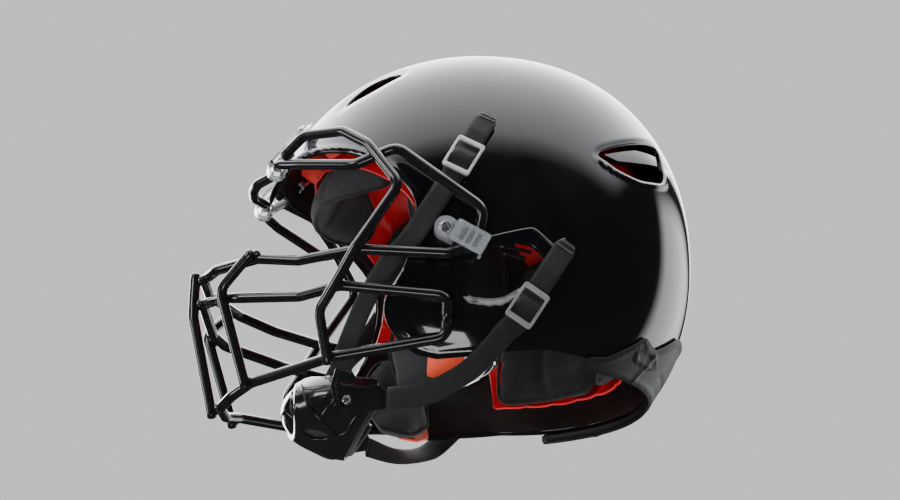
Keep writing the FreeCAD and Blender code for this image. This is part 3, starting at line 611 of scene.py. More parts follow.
def build_groups():
    """The surface effects that several finishes share."""
    groups = {}
    tree, given, out = new_group("fine_scratches", [("Amount", "f", 0.5), ("Scale", "f", 60.0)],
                                 [("Mask", "f"), ("Height", "f")])
    place = tree.nodes.new("ShaderNodeTexCoord").outputs["Object"]
    total = None
    for turn, stretch in (((0.3, 0.2, 0.5), (1, 26, 1)), ((1.1, 0.7, 0.1), (24, 1, 1)),
                          ((0.2, 1.3, 2.0), (1, 1, 30))):
        mapping = tree.nodes.new("ShaderNodeMapping")
        mapping.inputs["Rotation"].default_value = turn
        mapping.inputs["Scale"].default_value = stretch
        tree.links.new(place, mapping.inputs["Vector"])
        lines = noise_node(tree, given.outputs["Scale"], 2.0, 0.5, mapping.outputs["Vector"])
        thin = spread(tree, lines.outputs["Fac"], 0.66, 0.72)
        total = thin if total is None else maths(tree, "MAXIMUM", total, thin)
    patches = spread(tree, noise_node(tree, 14.0, 3.0, 0.6, place).outputs["Fac"], 0.45, 0.65)
    mask = maths(tree, "MULTIPLY", maths(tree, "MULTIPLY", total, patches), given.outputs["Amount"])
    tree.links.new(mask, out.inputs["Mask"])
    tree.links.new(maths(tree, "MULTIPLY", mask, -1.0), out.inputs["Height"])
    groups["scratches"] = tree

    tree, given, out = new_group("moulded_grain", [("Scale", "f", 900.0), ("Depth", "f", 1.0)],
                                 [("Height", "f"), ("Variation", "f")])
    place = tree.nodes.new("ShaderNodeTexCoord").outputs["Object"]
    fine = noise_node(tree, given.outputs["Scale"], 3.0, 0.6, place)
    cells = tree.nodes.new("ShaderNodeTexVoronoi")
    tree.links.new(place, cells.inputs["Vector"])
    tree.links.new(given.outputs["Scale"], cells.inputs["Scale"])
    height = maths(tree, "ADD", fine.outputs["Fac"], maths(tree, "MULTIPLY", cells.outputs["Distance"], 0.4))
    tree.links.new(maths(tree, "MULTIPLY", height, given.outputs["Depth"]), out.inputs["Height"])
    tree.links.new(noise_node(tree, 22.0, 4.0, 0.6, place).outputs["Fac"], out.inputs["Variation"])
    groups["grain"] = tree

    tree, given, out = new_group("edge_wear", [("Width", "f", 0.55), ("Amount", "f", 0.5)], [("Mask", "f")])
    geometry = tree.nodes.new("ShaderNodeNewGeometry")
    place = tree.nodes.new("ShaderNodeTexCoord").outputs["Object"]
    edge = spread(tree, geometry.outputs["Pointiness"], 0.53, 0.62)
    broken = spread(tree, noise_node(tree, 160.0, 4.0, 0.65, place).outputs["Fac"],
                    given.outputs["Width"], 0.75)
    mask = maths(tree, "MULTIPLY", maths(tree, "MULTIPLY", edge, broken), given.outputs["Amount"], True)
    tree.links.new(mask, out.inputs["Mask"])
    groups["wear"] = tree

    tree, given, out = new_group("settled_dust", [("Amount", "f", 0.3), ("Scale", "f", 30.0)],
                                 [("Mask", "f")])
    geometry = tree.nodes.new("ShaderNodeNewGeometry")
    place = tree.nodes.new("ShaderNodeTexCoord").outputs["Object"]
    split = tree.nodes.new("ShaderNodeSeparateXYZ")
    tree.links.new(geometry.outputs["Normal"], split.inputs[0])
    upward = spread(tree, split.outputs["Z"], -0.1, 0.95)
    cloud = spread(tree, noise_node(tree, given.outputs["Scale"], 5.0, 0.65, place).outputs["Fac"], 0.4, 0.7)
    mask = maths(tree, "MULTIPLY", maths(tree, "MULTIPLY", upward, cloud), given.outputs["Amount"], True)
    tree.links.new(mask, out.inputs["Mask"])
    groups["dust"] = tree

    tree, given, out = new_group("knit_cloth", [("Scale", "f", 900.0), ("Depth", "f", 1.0)],
                                 [("Height", "f"), ("Shade", "f")])
    place = tree.nodes.new("ShaderNodeTexCoord").outputs["Object"]
    total = None
    for turn in ((0.0, 0.0, 0.0), (0.0, 0.0, 1.5708), (0.0, 1.5708, 0.0)):
        mapping = tree.nodes.new("ShaderNodeMapping")
        mapping.inputs["Rotation"].default_value = turn
        tree.links.new(place, mapping.inputs["Vector"])
        wave = tree.nodes.new("ShaderNodeTexWave")
        wave.inputs["Distortion"].default_value = 1.5
        wave.inputs["Detail"].default_value = 1.0
        tree.links.new(given.outputs["Scale"], wave.inputs["Scale"])
        tree.links.new(mapping.outputs["Vector"], wave.inputs["Vector"])
        total = wave.outputs["Fac"] if total is None else maths(tree, "ADD", total, wave.outputs["Fac"])
    tree.links.new(maths(tree, "MULTIPLY", total, given.outputs["Depth"]), out.inputs["Height"])
    shade = spread(tree, noise_node(tree, 45.0, 5.0, 0.7, place).outputs["Fac"], 0.3, 0.7, 0.75, 1.2)
    fine = spread(tree, total, 0.6, 2.4, 0.8, 1.15)
    tree.links.new(maths(tree, "MULTIPLY", shade, fine), out.inputs["Shade"])
    groups["knit"] = tree

    tree, given, out = new_group("ribbed_weave", [("Rib", "f", 1.05), ("Pick", "f", 0.75)],
                                 [("Height", "f"), ("Shade", "f")])
    uv = tree.nodes.new("ShaderNodeTexCoord").outputs["UV"]
    split = tree.nodes.new("ShaderNodeSeparateXYZ")
    tree.links.new(uv, split.inputs[0])
    turn = 2 * math.pi * 1000
    ribs = maths(tree, "SINE", maths(tree, "DIVIDE", maths(tree, "MULTIPLY", split.outputs["Y"], turn),
                                     given.outputs["Rib"]))
    offset = maths(tree, "MULTIPLY", maths(tree, "SIGN", ribs), 1.5708)
    picks = maths(tree, "DIVIDE", maths(tree, "MULTIPLY", split.outputs["X"], turn), given.outputs["Pick"])
    picks = maths(tree, "SINE", maths(tree, "ADD", picks, offset))
    height = maths(tree, "ADD", maths(tree, "ABSOLUTE", ribs), maths(tree, "MULTIPLY", picks, 0.45))
    tree.links.new(height, out.inputs["Height"])
    tree.links.new(spread(tree, height, -0.4, 1.4, 0.55, 1.25), out.inputs["Shade"])
    groups["weave"] = tree

    tree, given, out = new_group("brushed_lines", [("Scale", "f", 90.0)], [("Lines", "f")])
    mapping = tree.nodes.new("ShaderNodeMapping")
    mapping.inputs["Scale"].default_value = (2.0, 2.0, 60.0)
    mapping.inputs["Rotation"].default_value = (0.6, 0.2, 0.0)
    tree.links.new(tree.nodes.new("ShaderNodeTexCoord").outputs["Object"], mapping.inputs["Vector"])
    lines = noise_node(tree, given.outputs["Scale"], 3.0, 0.7, mapping.outputs["Vector"])
    tree.links.new(lines.outputs["Fac"], out.inputs["Lines"])
    groups["brushed"] = tree
    return groups


GROUPS = build_groups()


class Finish:
    """One material being put together around its Principled shader."""

    def __init__(self, name, colour, roughness, **constants):
        self.material = bpy.data.materials.new(name)
        self.material.use_nodes = True
        self.tree = self.material.node_tree
        self.shader = self.tree.nodes["Principled BSDF"]
        self.colour, self.roughness, self.height = tuple(colour) + (1.0,), roughness, []
        for label, value in constants.items():
            self.shader.inputs[label.replace("_", " ")].default_value = value

    def effect(self, name, **values):
        node = self.tree.nodes.new("ShaderNodeGroup")
        node.node_tree = GROUPS[name]
        for label, value in values.items():
            node.inputs[label].default_value = value
        return node.outputs

    def tint(self, share, colour):
        self.colour = blend_colour(self.tree, share, self.colour, tuple(colour) + (1.0,))

    def shade_by(self, value):
        dim = self.tree.nodes.new("ShaderNodeMix")
        dim.data_type, dim.blend_type = "RGBA", "MULTIPLY"
        dim.inputs[0].default_value = 1.0
        if hasattr(self.colour, "links"):
            self.tree.links.new(self.colour, dim.inputs[6])
        else:
            dim.inputs[6].default_value = self.colour
        self.tree.links.new(value, dim.inputs[7])
        self.colour = dim.outputs[2]

    def rougher(self, value, amount):
        self.roughness = maths(self.tree, "ADD", maths(self.tree, "MULTIPLY", value, amount), self.roughness)

    def bump(self, value, depth, strength=1.0):
        self.height.append((value, depth * MM, strength))

    def done(self):
        for label, value in (("Base Color", self.colour), ("Roughness", self.roughness)):
            if hasattr(value, "links"):
                self.tree.links.new(value, self.shader.inputs[label])
            else:
                self.shader.inputs[label].default_value = value
        normal = None
        for value, depth, strength in self.height:
            bump = self.tree.nodes.new("ShaderNodeBump")
            bump.inputs["Distance"].default_value = depth
            bump.inputs["Strength"].default_value = strength
            self.tree.links.new(value, bump.inputs["Height"])
            if normal is not None:
                self.tree.links.new(normal, bump.inputs["Normal"])
            normal = bump.outputs["Normal"]
        if normal is not None:
            self.tree.links.new(normal, self.shader.inputs["Normal"])
        return self.material


def build_finishes():
    paint = {}
    f = Finish("shell_black_gloss", (0.0035, 0.0035, 0.0045), 0.10,
               Coat_Weight=1.0, Coat_Roughness=0.03, IOR=1.5)
    marks = f.effect("scratches", Amount=0.5, Scale=22.0)
    dust = f.effect("dust", Amount=0.035, Scale=40.0)
    grain = f.effect("grain", Scale=120.0, Depth=1.0)
    f.tint(dust["Mask"], (0.35, 0.36, 0.38))
    f.rougher(marks["Mask"], 0.10)
    f.rougher(dust["Mask"], 1.2)
    f.bump(grain["Variation"], 0.04, 0.25)
    paint["shell"] = f.done()

    f = Finish("shell_inside_black", (0.010, 0.010, 0.011), 0.42)
    grain = f.effect("grain", Scale=1100.0, Depth=1.0)
    f.tint(f.effect("dust", Amount=0.12, Scale=55.0)["Mask"], (0.2, 0.19, 0.18))
    f.rougher(grain["Variation"], 0.2)
    f.bump(grain["Height"], 0.05, 0.5)
    paint["inside"] = f.done()

    f = Finish("cage_dip_coating", (0.006, 0.006, 0.007), 0.16, Coat_Weight=0.6, Coat_Roughness=0.08, IOR=1.5)
    grain = f.effect("grain", Scale=260.0, Depth=1.0)
    marks = f.effect("scratches", Amount=0.8, Scale=40.0)
    wear = f.effect("wear", Width=0.62, Amount=0.5)
    f.tint(wear["Mask"], (0.10, 0.10, 0.105))
    f.tint(f.effect("dust", Amount=0.05, Scale=90.0)["Mask"], (0.3, 0.3, 0.31))
    f.rougher(grain["Variation"], 0.12)
    f.rougher(marks["Mask"], 0.25)
    f.bump(grain["Height"], 0.10, 0.25)
    paint["cage"] = f.done()

    f = Finish("clear_moulded_plastic", (0.93, 0.95, 0.98), 0.05, Transmission_Weight=0.88, IOR=1.47,
               Coat_Weight=1.0, Coat_Roughness=0.04)
    grain = f.effect("grain", Scale=300.0, Depth=1.0)
    marks = f.effect("scratches", Amount=0.9, Scale=60.0)
    f.rougher(grain["Variation"], 0.16)
    f.rougher(marks["Mask"], 0.3)
    f.tint(f.effect("wear", Width=0.5, Amount=0.5)["Mask"], (1.0, 1.0, 1.0))
    f.bump(grain["Variation"], 0.25, 0.5)
    paint["clear"] = f.done()

    f = Finish("rubber_trim_black", (0.008, 0.008, 0.0085), 0.40)
    grain = f.effect("grain", Scale=1500.0, Depth=1.0)
    f.tint(f.effect("wear", Width=0.5, Amount=0.6)["Mask"], (0.06, 0.06, 0.06))
    f.tint(f.effect("dust", Amount=0.12, Scale=60.0)["Mask"], (0.2, 0.2, 0.2))
    f.rougher(grain["Variation"], 0.22)
    f.bump(grain["Height"], 0.06, 0.6)
    paint["rubber"] = f.done()

    f = Finish("liner_red_film", (0.54, 0.004, 0.009), 0.26, Coat_Weight=0.35, Coat_Roughness=0.15)
    grain = f.effect("grain", Scale=420.0, Depth=1.0)
    f.tint(maths(f.tree, "MULTIPLY", grain["Variation"], 0.5), (0.40, 0.006, 0.006))
    f.tint(f.effect("wear", Width=0.5, Amount=0.5)["Mask"], (0.70, 0.03, 0.03))
    f.rougher(grain["Variation"], 0.25)
    f.bump(grain["Height"], 0.12, 0.4)
    paint["liner"] = f.done()

    f = Finish("crush_cup_red", (0.70, 0.03, 0.02), 0.38)
    grain = f.effect("grain", Scale=700.0, Depth=1.0)
    f.tint(maths(f.tree, "MULTIPLY", grain["Variation"], 0.4), (0.5, 0.01, 0.01))
    f.rougher(grain["Variation"], 0.2)
    f.bump(grain["Height"], 0.08, 0.5)
    paint["cups"] = f.done()

    f = Finish("jaw_backing_orange_red", (0.80, 0.075, 0.02), 0.34)
    grain = f.effect("grain", Scale=520.0, Depth=1.0)
    f.tint(maths(f.tree, "MULTIPLY", grain["Variation"], 0.45), (0.62, 0.03, 0.01))
    f.rougher(grain["Variation"], 0.2)
    f.bump(grain["Height"], 0.08, 0.5)
    paint["backing"] = f.done()

    # The darker copy is the same knit in a darker colour. It is painted shade for the pads deep in the shell,
    # the seam welts, the gussets and the chin cup padding, where little light reaches.
    for key, name, colour in (("pad", "pad_grey_knit", (0.019, 0.019, 0.022)),
                              ("pad_shaded_dark", "pad_knit_shaded_dark", (0.0075, 0.0075, 0.0085))):
        f = Finish(name, colour, 0.72, Sheen_Weight=0.10, Sheen_Roughness=0.5)
        knit = f.effect("knit", Scale=620.0, Depth=1.0)
        f.shade_by(knit["Shade"])
        f.tint(f.effect("dust", Amount=0.10, Scale=120.0)["Mask"], (0.22, 0.21, 0.2))
        f.rougher(knit["Shade"], 0.1)
        f.bump(knit["Height"], 0.16, 0.6)
        paint[key] = f.done()

    f = Finish("strap_webbing_black", (0.0085, 0.0085, 0.009), 0.46, Sheen_Weight=0.05, Sheen_Roughness=0.4)
    weave = f.effect("weave", Rib=1.15, Pick=0.9)
    f.shade_by(weave["Shade"])
    f.tint(f.effect("wear", Width=0.5, Amount=0.4)["Mask"], (0.10, 0.10, 0.10))
    f.rougher(weave["Shade"], 0.12)
    f.bump(weave["Height"], 0.16, 0.8)
    paint["webbing"] = f.done()

    f = Finish("buckle_brushed_silver", (0.92, 0.92, 0.91), 0.24, Metallic=0.88)
    lines = f.effect("brushed", Scale=60.0)
    wear = f.effect("wear", Width=0.45, Amount=0.8)
    f.tint(maths(f.tree, "MULTIPLY", lines["Lines"], 0.35), (0.66, 0.66, 0.67))
    # The rounded edges are tinted white. This is partly rubbed bright metal and partly a painted highlight
    # standing in for the edge glint.
    f.tint(wear["Mask"], (1.0, 1.0, 1.0))
    f.rougher(lines["Lines"], 0.25)
    f.bump(lines["Lines"], 0.03, 0.5)
    paint["silver"] = f.done()

    f = Finish("fastener_stainless", (0.80, 0.80, 0.80), 0.14, Metallic=1.0)
    lines = f.effect("brushed", Scale=140.0)
    marks = f.effect("scratches", Amount=0.9, Scale=130.0)
    f.tint(marks["Mask"], (0.35, 0.35, 0.36))
    f.rougher(lines["Lines"], 0.2)
    f.bump(lines["Lines"], 0.02, 0.4)
    paint["steel"] = f.done()

    f = Finish("snap_nickel", (0.62, 0.60, 0.55), 0.16, Metallic=1.0)
    marks = f.effect("scratches", Amount=1.0, Scale=150.0)
    grain = f.effect("grain", Scale=300.0, Depth=1.0)
    f.tint(marks["Mask"], (0.3, 0.29, 0.27))
    f.rougher(grain["Variation"], 0.2)
    f.bump(grain["Variation"], 0.02, 0.4)
    paint["nickel"] = f.done()

    f = Finish("cup_hard_black", (0.006, 0.006, 0.0075), 0.10, Coat_Weight=1.0, Coat_Roughness=0.05)
    grain = f.effect("grain", Scale=700.0, Depth=1.0)
    marks = f.effect("scratches", Amount=1.0, Scale=45.0)
    f.tint(f.effect("wear", Width=0.55, Amount=0.5)["Mask"], (0.08, 0.08, 0.085))
    f.tint(f.effect("dust", Amount=0.06, Scale=80.0)["Mask"], (0.25, 0.25, 0.26))
    f.rougher(grain["Variation"], 0.16)
    f.rougher(marks["Mask"], 0.3)
    f.bump(grain["Height"], 0.03, 0.35)
    paint["cup"] = f.done()

    f = Finish("smoke_moulded_plastic", (0.009, 0.009, 0.011), 0.12, Coat_Weight=0.9, Coat_Roughness=0.05)
    grain = f.effect("grain", Scale=500.0, Depth=1.0)
    marks = f.effect("scratches", Amount=1.0, Scale=60.0)
    f.tint(f.effect("wear", Width=0.55, Amount=0.5)["Mask"], (0.10, 0.10, 0.105))
    f.rougher(grain["Variation"], 0.15)
    f.rougher(marks["Mask"], 0.3)
    f.bump(grain["Height"], 0.03, 0.35)
    paint["bracket"] = f.done()

    f = Finish("studio_floor", (0.78, 0.78, 0.77), 0.7)
    f.rougher(f.effect("grain", Scale=40.0, Depth=1.0)["Variation"], 0.1)
    paint["floor"] = f.done()
    return paint


PAINT = build_finishes()


# ---------------------------------------------------------------- shell

FACE_EDGE = [(-150, 152), (-112, 152), (-88, 148), (-70, 140), (-54, 128), (-42, 114), (-38, 100), (-40, 80),
             (-45, 62), (-54, 46), (-57.5, 36), (-55, 25), (-47, 14), (-36, 5), (-22, 1)]
LOWER_EDGE = [(2, 2), (15, 4.5), (50, 8), (86, 6), (190, 6)]
EAR_OPENING = [(-4, 45), (3, 69), (17, 74.5), (27, 77), (37, 76.5), (43, 72), (47, 66), (42, 57), (34, 51),
               (25, 45), (17, 41), (5, 40.5)]
REAR_VENT = [(86, 148), (95, 154), (116, 163), (131, 167), (135, 155), (133, 139), (124, 135), (113, 134),
             (99, 138), (91, 143)]
FRONT_SLOT = [(50, -78), (42, -67), (40, -58), (46, -48), (56, -41), (58, -50), (58, -60), (55, -70)]
EAR_CREASE = [(-30, 68), (-12, 74), (6, 78.6), (22.8, 83.5), (36.8, 87), (41, 86), (52.6, 75.6), (55.3, 79),
              (60, 81.7)]
EAR_PANEL = EAR_CREASE[:7] + [(57, 66), (54, 52), (42, 39), (26, 30), (4, 28), (-16, 33), (-30, 46)]
FAR = 260


def covered_region(shift=0.0, lower_shift=0.0):
    edge = smooth_line([(y + shift, z + shift / 3) for y, z in FACE_EDGE])
    rest = [(y, z + lower_shift) for y, z in LOWER_EDGE] + [(190, FAR), (edge[0][0], FAR)]
    return np.array(list(map(tuple, edge)) + rest)


EAR_LINE = smooth_line(EAR_OPENING, True)
VENT_LINE = smooth_line(REAR_VENT, True)
SLOT_LINE = smooth_line(FRONT_SLOT, True)
REGION = covered_region()


def shell_kept(points):
    side, x, z = points[..., 1:], np.abs(points[..., 0]), points[..., 2]
    kept = np.minimum(inside_by(side, REGION), -inside_by(side, EAR_LINE))
    kept = np.where(x > 30, np.minimum(kept, -inside_by(side, VENT_LINE)), kept)
    top = np.stack([x, points[..., 1]], -1)
    return np.where(z > 150, np.minimum(kept, -inside_by(top, SLOT_LINE)), kept)


def shell_relief(points):
    """Moulded relief: the ear panel and its crease, lips round the openings and a bead at the face edge."""
    side, x, z = points[..., 1:], np.abs(points[..., 0]), points[..., 2]
    wide = x > 70
    panel = inside_by(side, smooth_line(EAR_PANEL, True))
    ear = -inside_by(side, EAR_LINE)
    relief = np.where(wide, -1.5 * step_up(panel, 0.0, 8.0), 0.0)
    below = (1 - step_up(side[..., 1] - 0.35 * (side[..., 0] - 5), 44.0, 50.0)) * wide
    width = 1.5 + 5.5 * (1 - step_up(side[..., 0], 22.0, 46.0))
    relief -= 3.2 * below * (1 - step_up(ear / width, 0.0, 1.0))
    vent = -inside_by(side, VENT_LINE)
    lip = np.where(x > 30, np.exp(-((vent - 2.6) / 1.7) ** 2), 0.0)
    under = 1 - step_up(side[..., 1] - 0.12 * (side[..., 0] - 86), 139.0, 147.0)
    relief += 0.8 * lip * under - np.where(x > 30, 0.5 * (1 - step_up(vent, 0.0, 6.0)), 0.0) * (1 - under)
    top = np.stack([x, points[..., 1]], -1)
    slot = -inside_by(top, SLOT_LINE)
    relief -= np.where(z > 150, 1.5 * (1 - step_up(slot, 0.0, 8.0)), 0.0)
    edge = inside_by(side, REGION)
    relief += 0.8 * np.exp(-((edge - 3.2) / 2.4) ** 2) * (side[..., 0] < 20)
    return relief


def outward_of(place, a, b, step, here):
    """Directions square to a layer at its points, away from the helmet's middle."""
    away = np.cross(place(a + step, b) - place(a - step, b), place(a, b + step) - place(a, b - step))
    away /= np.maximum(np.linalg.norm(away, axis=-1, keepdims=True), 1e-12)
    away *= np.sign(np.sum(away * (here - np.array([0, CENTRE_Y, CENTRE_Z - 10])), -1, keepdims=True))
    return away


def facing_out(faces, points, normals):
    """The faces, all turned over if they face against the normals."""
    face = faces[len(faces) // 2]
    first, second, third = (points[k] for k in face[:3])
    if np.dot(np.cross(second - first, third - second), normals[face[0]]) < 0:
        return [f[::-1] for f in faces]
    return faces


def formed_place(depth, relief):
    """Point finder for a layer of the helmet at a depth, with moulded relief."""
    def base(a, b):
        return curve_of_shell(a, (HALF_WIDTH - depth) * np.sin(b), depth)

    def place(a, b):
        here = base(a, b)
        if relief is None:
            return here
        return here + outward_of(base, a, b, 0.002, here) * relief(here)[..., None]
    return base, place


def sheet_of_form(name, depth, relief, keep, wall, rim, materials, inner_slot=0, around=420, across=150):
    """A sheet moulded to the helmet's curve: trimmed, given a wall and a rounded rim."""
    base, place = formed_place(depth, relief)
    rows = np.arange(around) / around * 2 * math.pi + 0.001
    lean = math.asin(POLE)
    a, b, faces = moulded_sheet(base, lambda points: keep(points) - rim, rows,
                                np.linspace(-lean, lean, across), True)
    outer = place(a, b)
    normals = outward_of(place, a, b, 0.0025, outer)
    faces = facing_out(faces, outer, normals)
    return thick_sheet(name, outer, normals, faces, wall, rim, materials, inner_slot)


def build_shell():
    fine = 1
    shell = sheet_of_form("shell_moulding", 0.0, shell_relief, shell_kept, 4.0, 1.1,
                          [PAINT["shell"], PAINT["inside"]], 1, int(440 * fine), int(170 * fine))
    fit(shell, "helmet", "shell_gloss", "shell")


# ---------------------------------------------------------------- rubber trim

REAR_TOP = [(-97, 6.5), (-90, 9), (-78, 28), (-70, 24.5), (-64, 23), (-56, 29), (-42, 39), (-20, 41.5),
            (0, 42), (20, 41.5), (42, 39), (56, 29), (64, 23), (70, 24.5), (78, 28), (90, 9), (97, 6.5)]
HEX_INSET = [(52, 14), (60, 10), (76, 11), (80, 18), (74, 22), (58, 20)]


def build_rear_bumper():
    band = np.array([(-97, -1)] + REAR_TOP + [(97, -1)])

    def kept(points):
        rear = points[..., [0, 2]]
        return np.where(points[..., 1] > 78, inside_by(rear, band), -5.0)

    def relief(points):
        rear = np.stack([np.abs(points[..., 0]), points[..., 2]], -1)
        inset = inside_by(rear, np.array(HEX_INSET))
        rise = 1.1 * step_up(inset, 0, 1.6) - 0.7 * step_up(inset, 2.6, 3.8)
        groove = near_line(rear, np.array([(64, 0), (64, 20)]))
        rise += 0.9 * np.exp(-(groove / 1.6) ** 2)
        middle = near_line(rear, np.array([(0, 12), (40, 12)]))
        rise -= 0.8 * np.exp(-(middle / 1.4) ** 2)
        rise += 0.9 * np.exp(-((inside_by(rear, band) - 3.0) / 1.6) ** 2)
        return rise
    trim = sheet_of_form("rear_bumper_moulding", -2.4, relief, kept, 2.0, 0.8, [PAINT["rubber"]], 0, 420, 150)
    lip_line = []
    for x in np.linspace(-94, 94, 70):
        low, high = 60.0, 165.0
        for _ in range(30):
            y = (low + high) / 2
            if half_width(y, 4.5) > abs(x):
                low = y
            else:
                high = y
        if y > 79:
            lip_line.append((x, y - 0.3, 4.0))
    lip = round_bar("rear_bumper_rolled_lip", lip_line, 2.7, PAINT["rubber"])
    fit(trim, "helmet", "bumper_rubber", "rear_bumper")
    fit(lip, "helmet", "bumper_rubber")


def build_front_bumper():
    band = rounded_outline([(-24, 142), (24, 142), (26, 166), (-26, 166)], 5)

    def kept(points):
        return np.where(points[..., 1] < -60, inside_by(points[..., [0, 2]], band), -5.0)

    def relief(points):
        return 0.8 * step_up(inside_by(points[..., [0, 2]], band), 3.5, 5.0)
    trim = sheet_of_form("front_bumper_moulding", -1.7, relief, kept, 1.4, 0.6,
                         [PAINT["rubber"]], 0, 500, 170)
    fit(trim, "helmet", "bumper_rubber", "front_bumper")
    edge = [(x, -(132 ** 2 - (x * 1.15) ** 2) ** 0.5 + 15.5, 147.5) for x in np.linspace(-22, 22, 25)]
    lip = round_bar("front_bumper_rolled_lip", edge, 2.6, PAINT["rubber"])
    fit(lip, "helmet", "bumper_rubber")


# ---------------------------------------------------------------- liner and pads

def build_liner():
    region = covered_region(4, 14)
    wide_ear = smooth_line([(28 + (y - 28) * 1.25, 60 + (z - 60) * 1.55) for y, z in EAR_OPENING], True)
    jaw = np.array([(-120, -40), (41, -40), (42, 30), (40, 50), (9, 50), (0, 60), (-120, 60)], float)

    def kept(points):
        side = points[..., 1:]
        whole = np.minimum(inside_by(side, region), -inside_by(side, wide_ear))
        return np.minimum(whole, -inside_by(side, jaw))

    def relief(points):
        cell_round = np.arctan2(points[..., 2] - CENTRE_Z, points[..., 1] - CENTRE_Y) * 118 / 31
        cell_across = points[..., 0] / 27
        cell = np.abs(np.sin(cell_round * math.pi)) * np.abs(np.sin((cell_across + 0.5) * math.pi))
        return 1.5 * np.clip(cell * 2.2, 0, 1) ** 0.7 - 1.5
    bonnet = sheet_of_form("liner_air_cells", 22.3, relief, kept, 1.8, 0.6, [PAINT["liner"]], 0, 330, 120)
    fit(bonnet, "helmet", "liner_plastic", "liner_bonnet")


PAD_TOP, PAD_BOTTOM = 25.4, 40.6
JAW_PAD_TOP, JAW_PAD_BOTTOM = 10.9, 28.6


def sewn_pad(name, top, bottom, kept, material, around=190, across=90, channel=None):
    """A pad sewn from two panels round an edge seam, to be plumped by cloth pressure afterwards."""
    middle = top + (bottom - top) * 0.42
    base, _ = formed_place(middle, None)
    rows = np.arange(around) / around * 2 * math.pi + 0.001
    lean = math.asin(POLE)
    a, b, faces = moulded_sheet(base, kept, rows, np.linspace(-lean, lean, across), True)
    flat = base(a, b)
    away = outward_of(base, a, b, 0.003, flat)
    edges = open_edges(faces)
    seam = {p for edge in edges for p in edge}
    inset = np.maximum(kept(flat), 0)
    crown = np.sqrt(1 - (1 - np.clip(inset / 13.0, 0, 1)) ** 2)
    if channel is not None:
        crown = crown * (1 - 0.45 * np.exp(-(channel(flat) / 3.0) ** 2))
    outer = flat + away * ((middle - top) * 0.86 * crown)[:, None]
    inner = flat - away * ((bottom - middle) * 0.80 * crown)[:, None]
    count = len(flat)
    faces = facing_out(faces, flat, away)
    shared = {k: (k if k in seam else k + count) for k in range(count)}
    points = np.concatenate([outer, inner])
    points[sorted(seam)] = flat[sorted(seam)]
    all_faces = [list(f) for f in faces] + [[shared[k] for k in reversed(f)] for f in faces]
    piece = make_piece(name, points, all_faces, material)
    loose = bmesh.new()
    loose.from_mesh(piece.data)
    bmesh.ops.delete(loose, geom=[v for v in loose.verts if not v.link_faces], context="VERTS")
    loose.to_mesh(piece.data)
    loose.free()
    follow = dict(open_edges(faces))
    if follow:
        start = here = next(iter(follow))
        loop = [here]
        while follow.get(here) is not None and follow[here] != start and len(loop) < 4000:
            here = follow[here]
            loop.append(here)
        line = flat[loop]
        for _ in range(6):
            line = (np.roll(line, 1, 0) + 2 * line + np.roll(line, -1, 0)) / 4
    return piece, np.concatenate([line, line[:1]])


def plump(piece, pressure, cap, frames=16):
    """Cloth pressure on a pad, held to a small swell, then applied."""
    rest = np.empty(len(piece.data.vertices) * 3)
    piece.data.vertices.foreach_get("co", rest)
    cloth = piece.modifiers.new("plump", "CLOTH")
    settings = cloth.settings
    settings.quality = 4
    settings.mass = 0.25
    settings.tension_stiffness, settings.compression_stiffness = 18, 18
    settings.bending_stiffness = 0.4
    settings.use_pressure = True
    settings.uniform_pressure_force = pressure
    settings.effector_weights.gravity = 0
    scene = bpy.context.scene
    scene.frame_start, scene.frame_end = 1, frames
    cloth.point_cache.frame_start, cloth.point_cache.frame_end = 1, frames
    for at in range(1, frames + 1):
        scene.frame_set(at)
    shown = piece.evaluated_get(bpy.context.evaluated_depsgraph_get())
    moved = np.empty(len(shown.data.vertices) * 3)
    shown.data.vertices.foreach_get("co", moved)
    piece.modifiers.remove(cloth)
    scene.frame_set(1)
    shift = (moved - rest).reshape(-1, 3)
    shift[~np.isfinite(shift)] = 0
    far = np.linalg.norm(shift, axis=1, keepdims=True)
    shift *= np.minimum(1, cap * MM / np.maximum(far, 1e-9))
    piece.data.vertices.foreach_set("co", (rest.reshape(-1, 3) + shift).ravel())
    piece.data.update()
    finer = piece.modifiers.new("finer", "SUBSURF")
    finer.levels = finer.render_levels = 1


def on_left(line):
    """A keeping rule: inside a side view outline, on the helmet's left."""
    return lambda points: np.where(points[..., 0] > 40, inside_by(points[..., 1:], line), -5.0)


def side_pad_rule(outline, side=1.0, low=20.0):
    line = rounded_outline(outline, 6)

    def kept(points):
        x = points[..., 0] * side
        return np.where(x > low, np.minimum(inside_by(points[..., 1:], line), x - low), -5.0)
    return kept


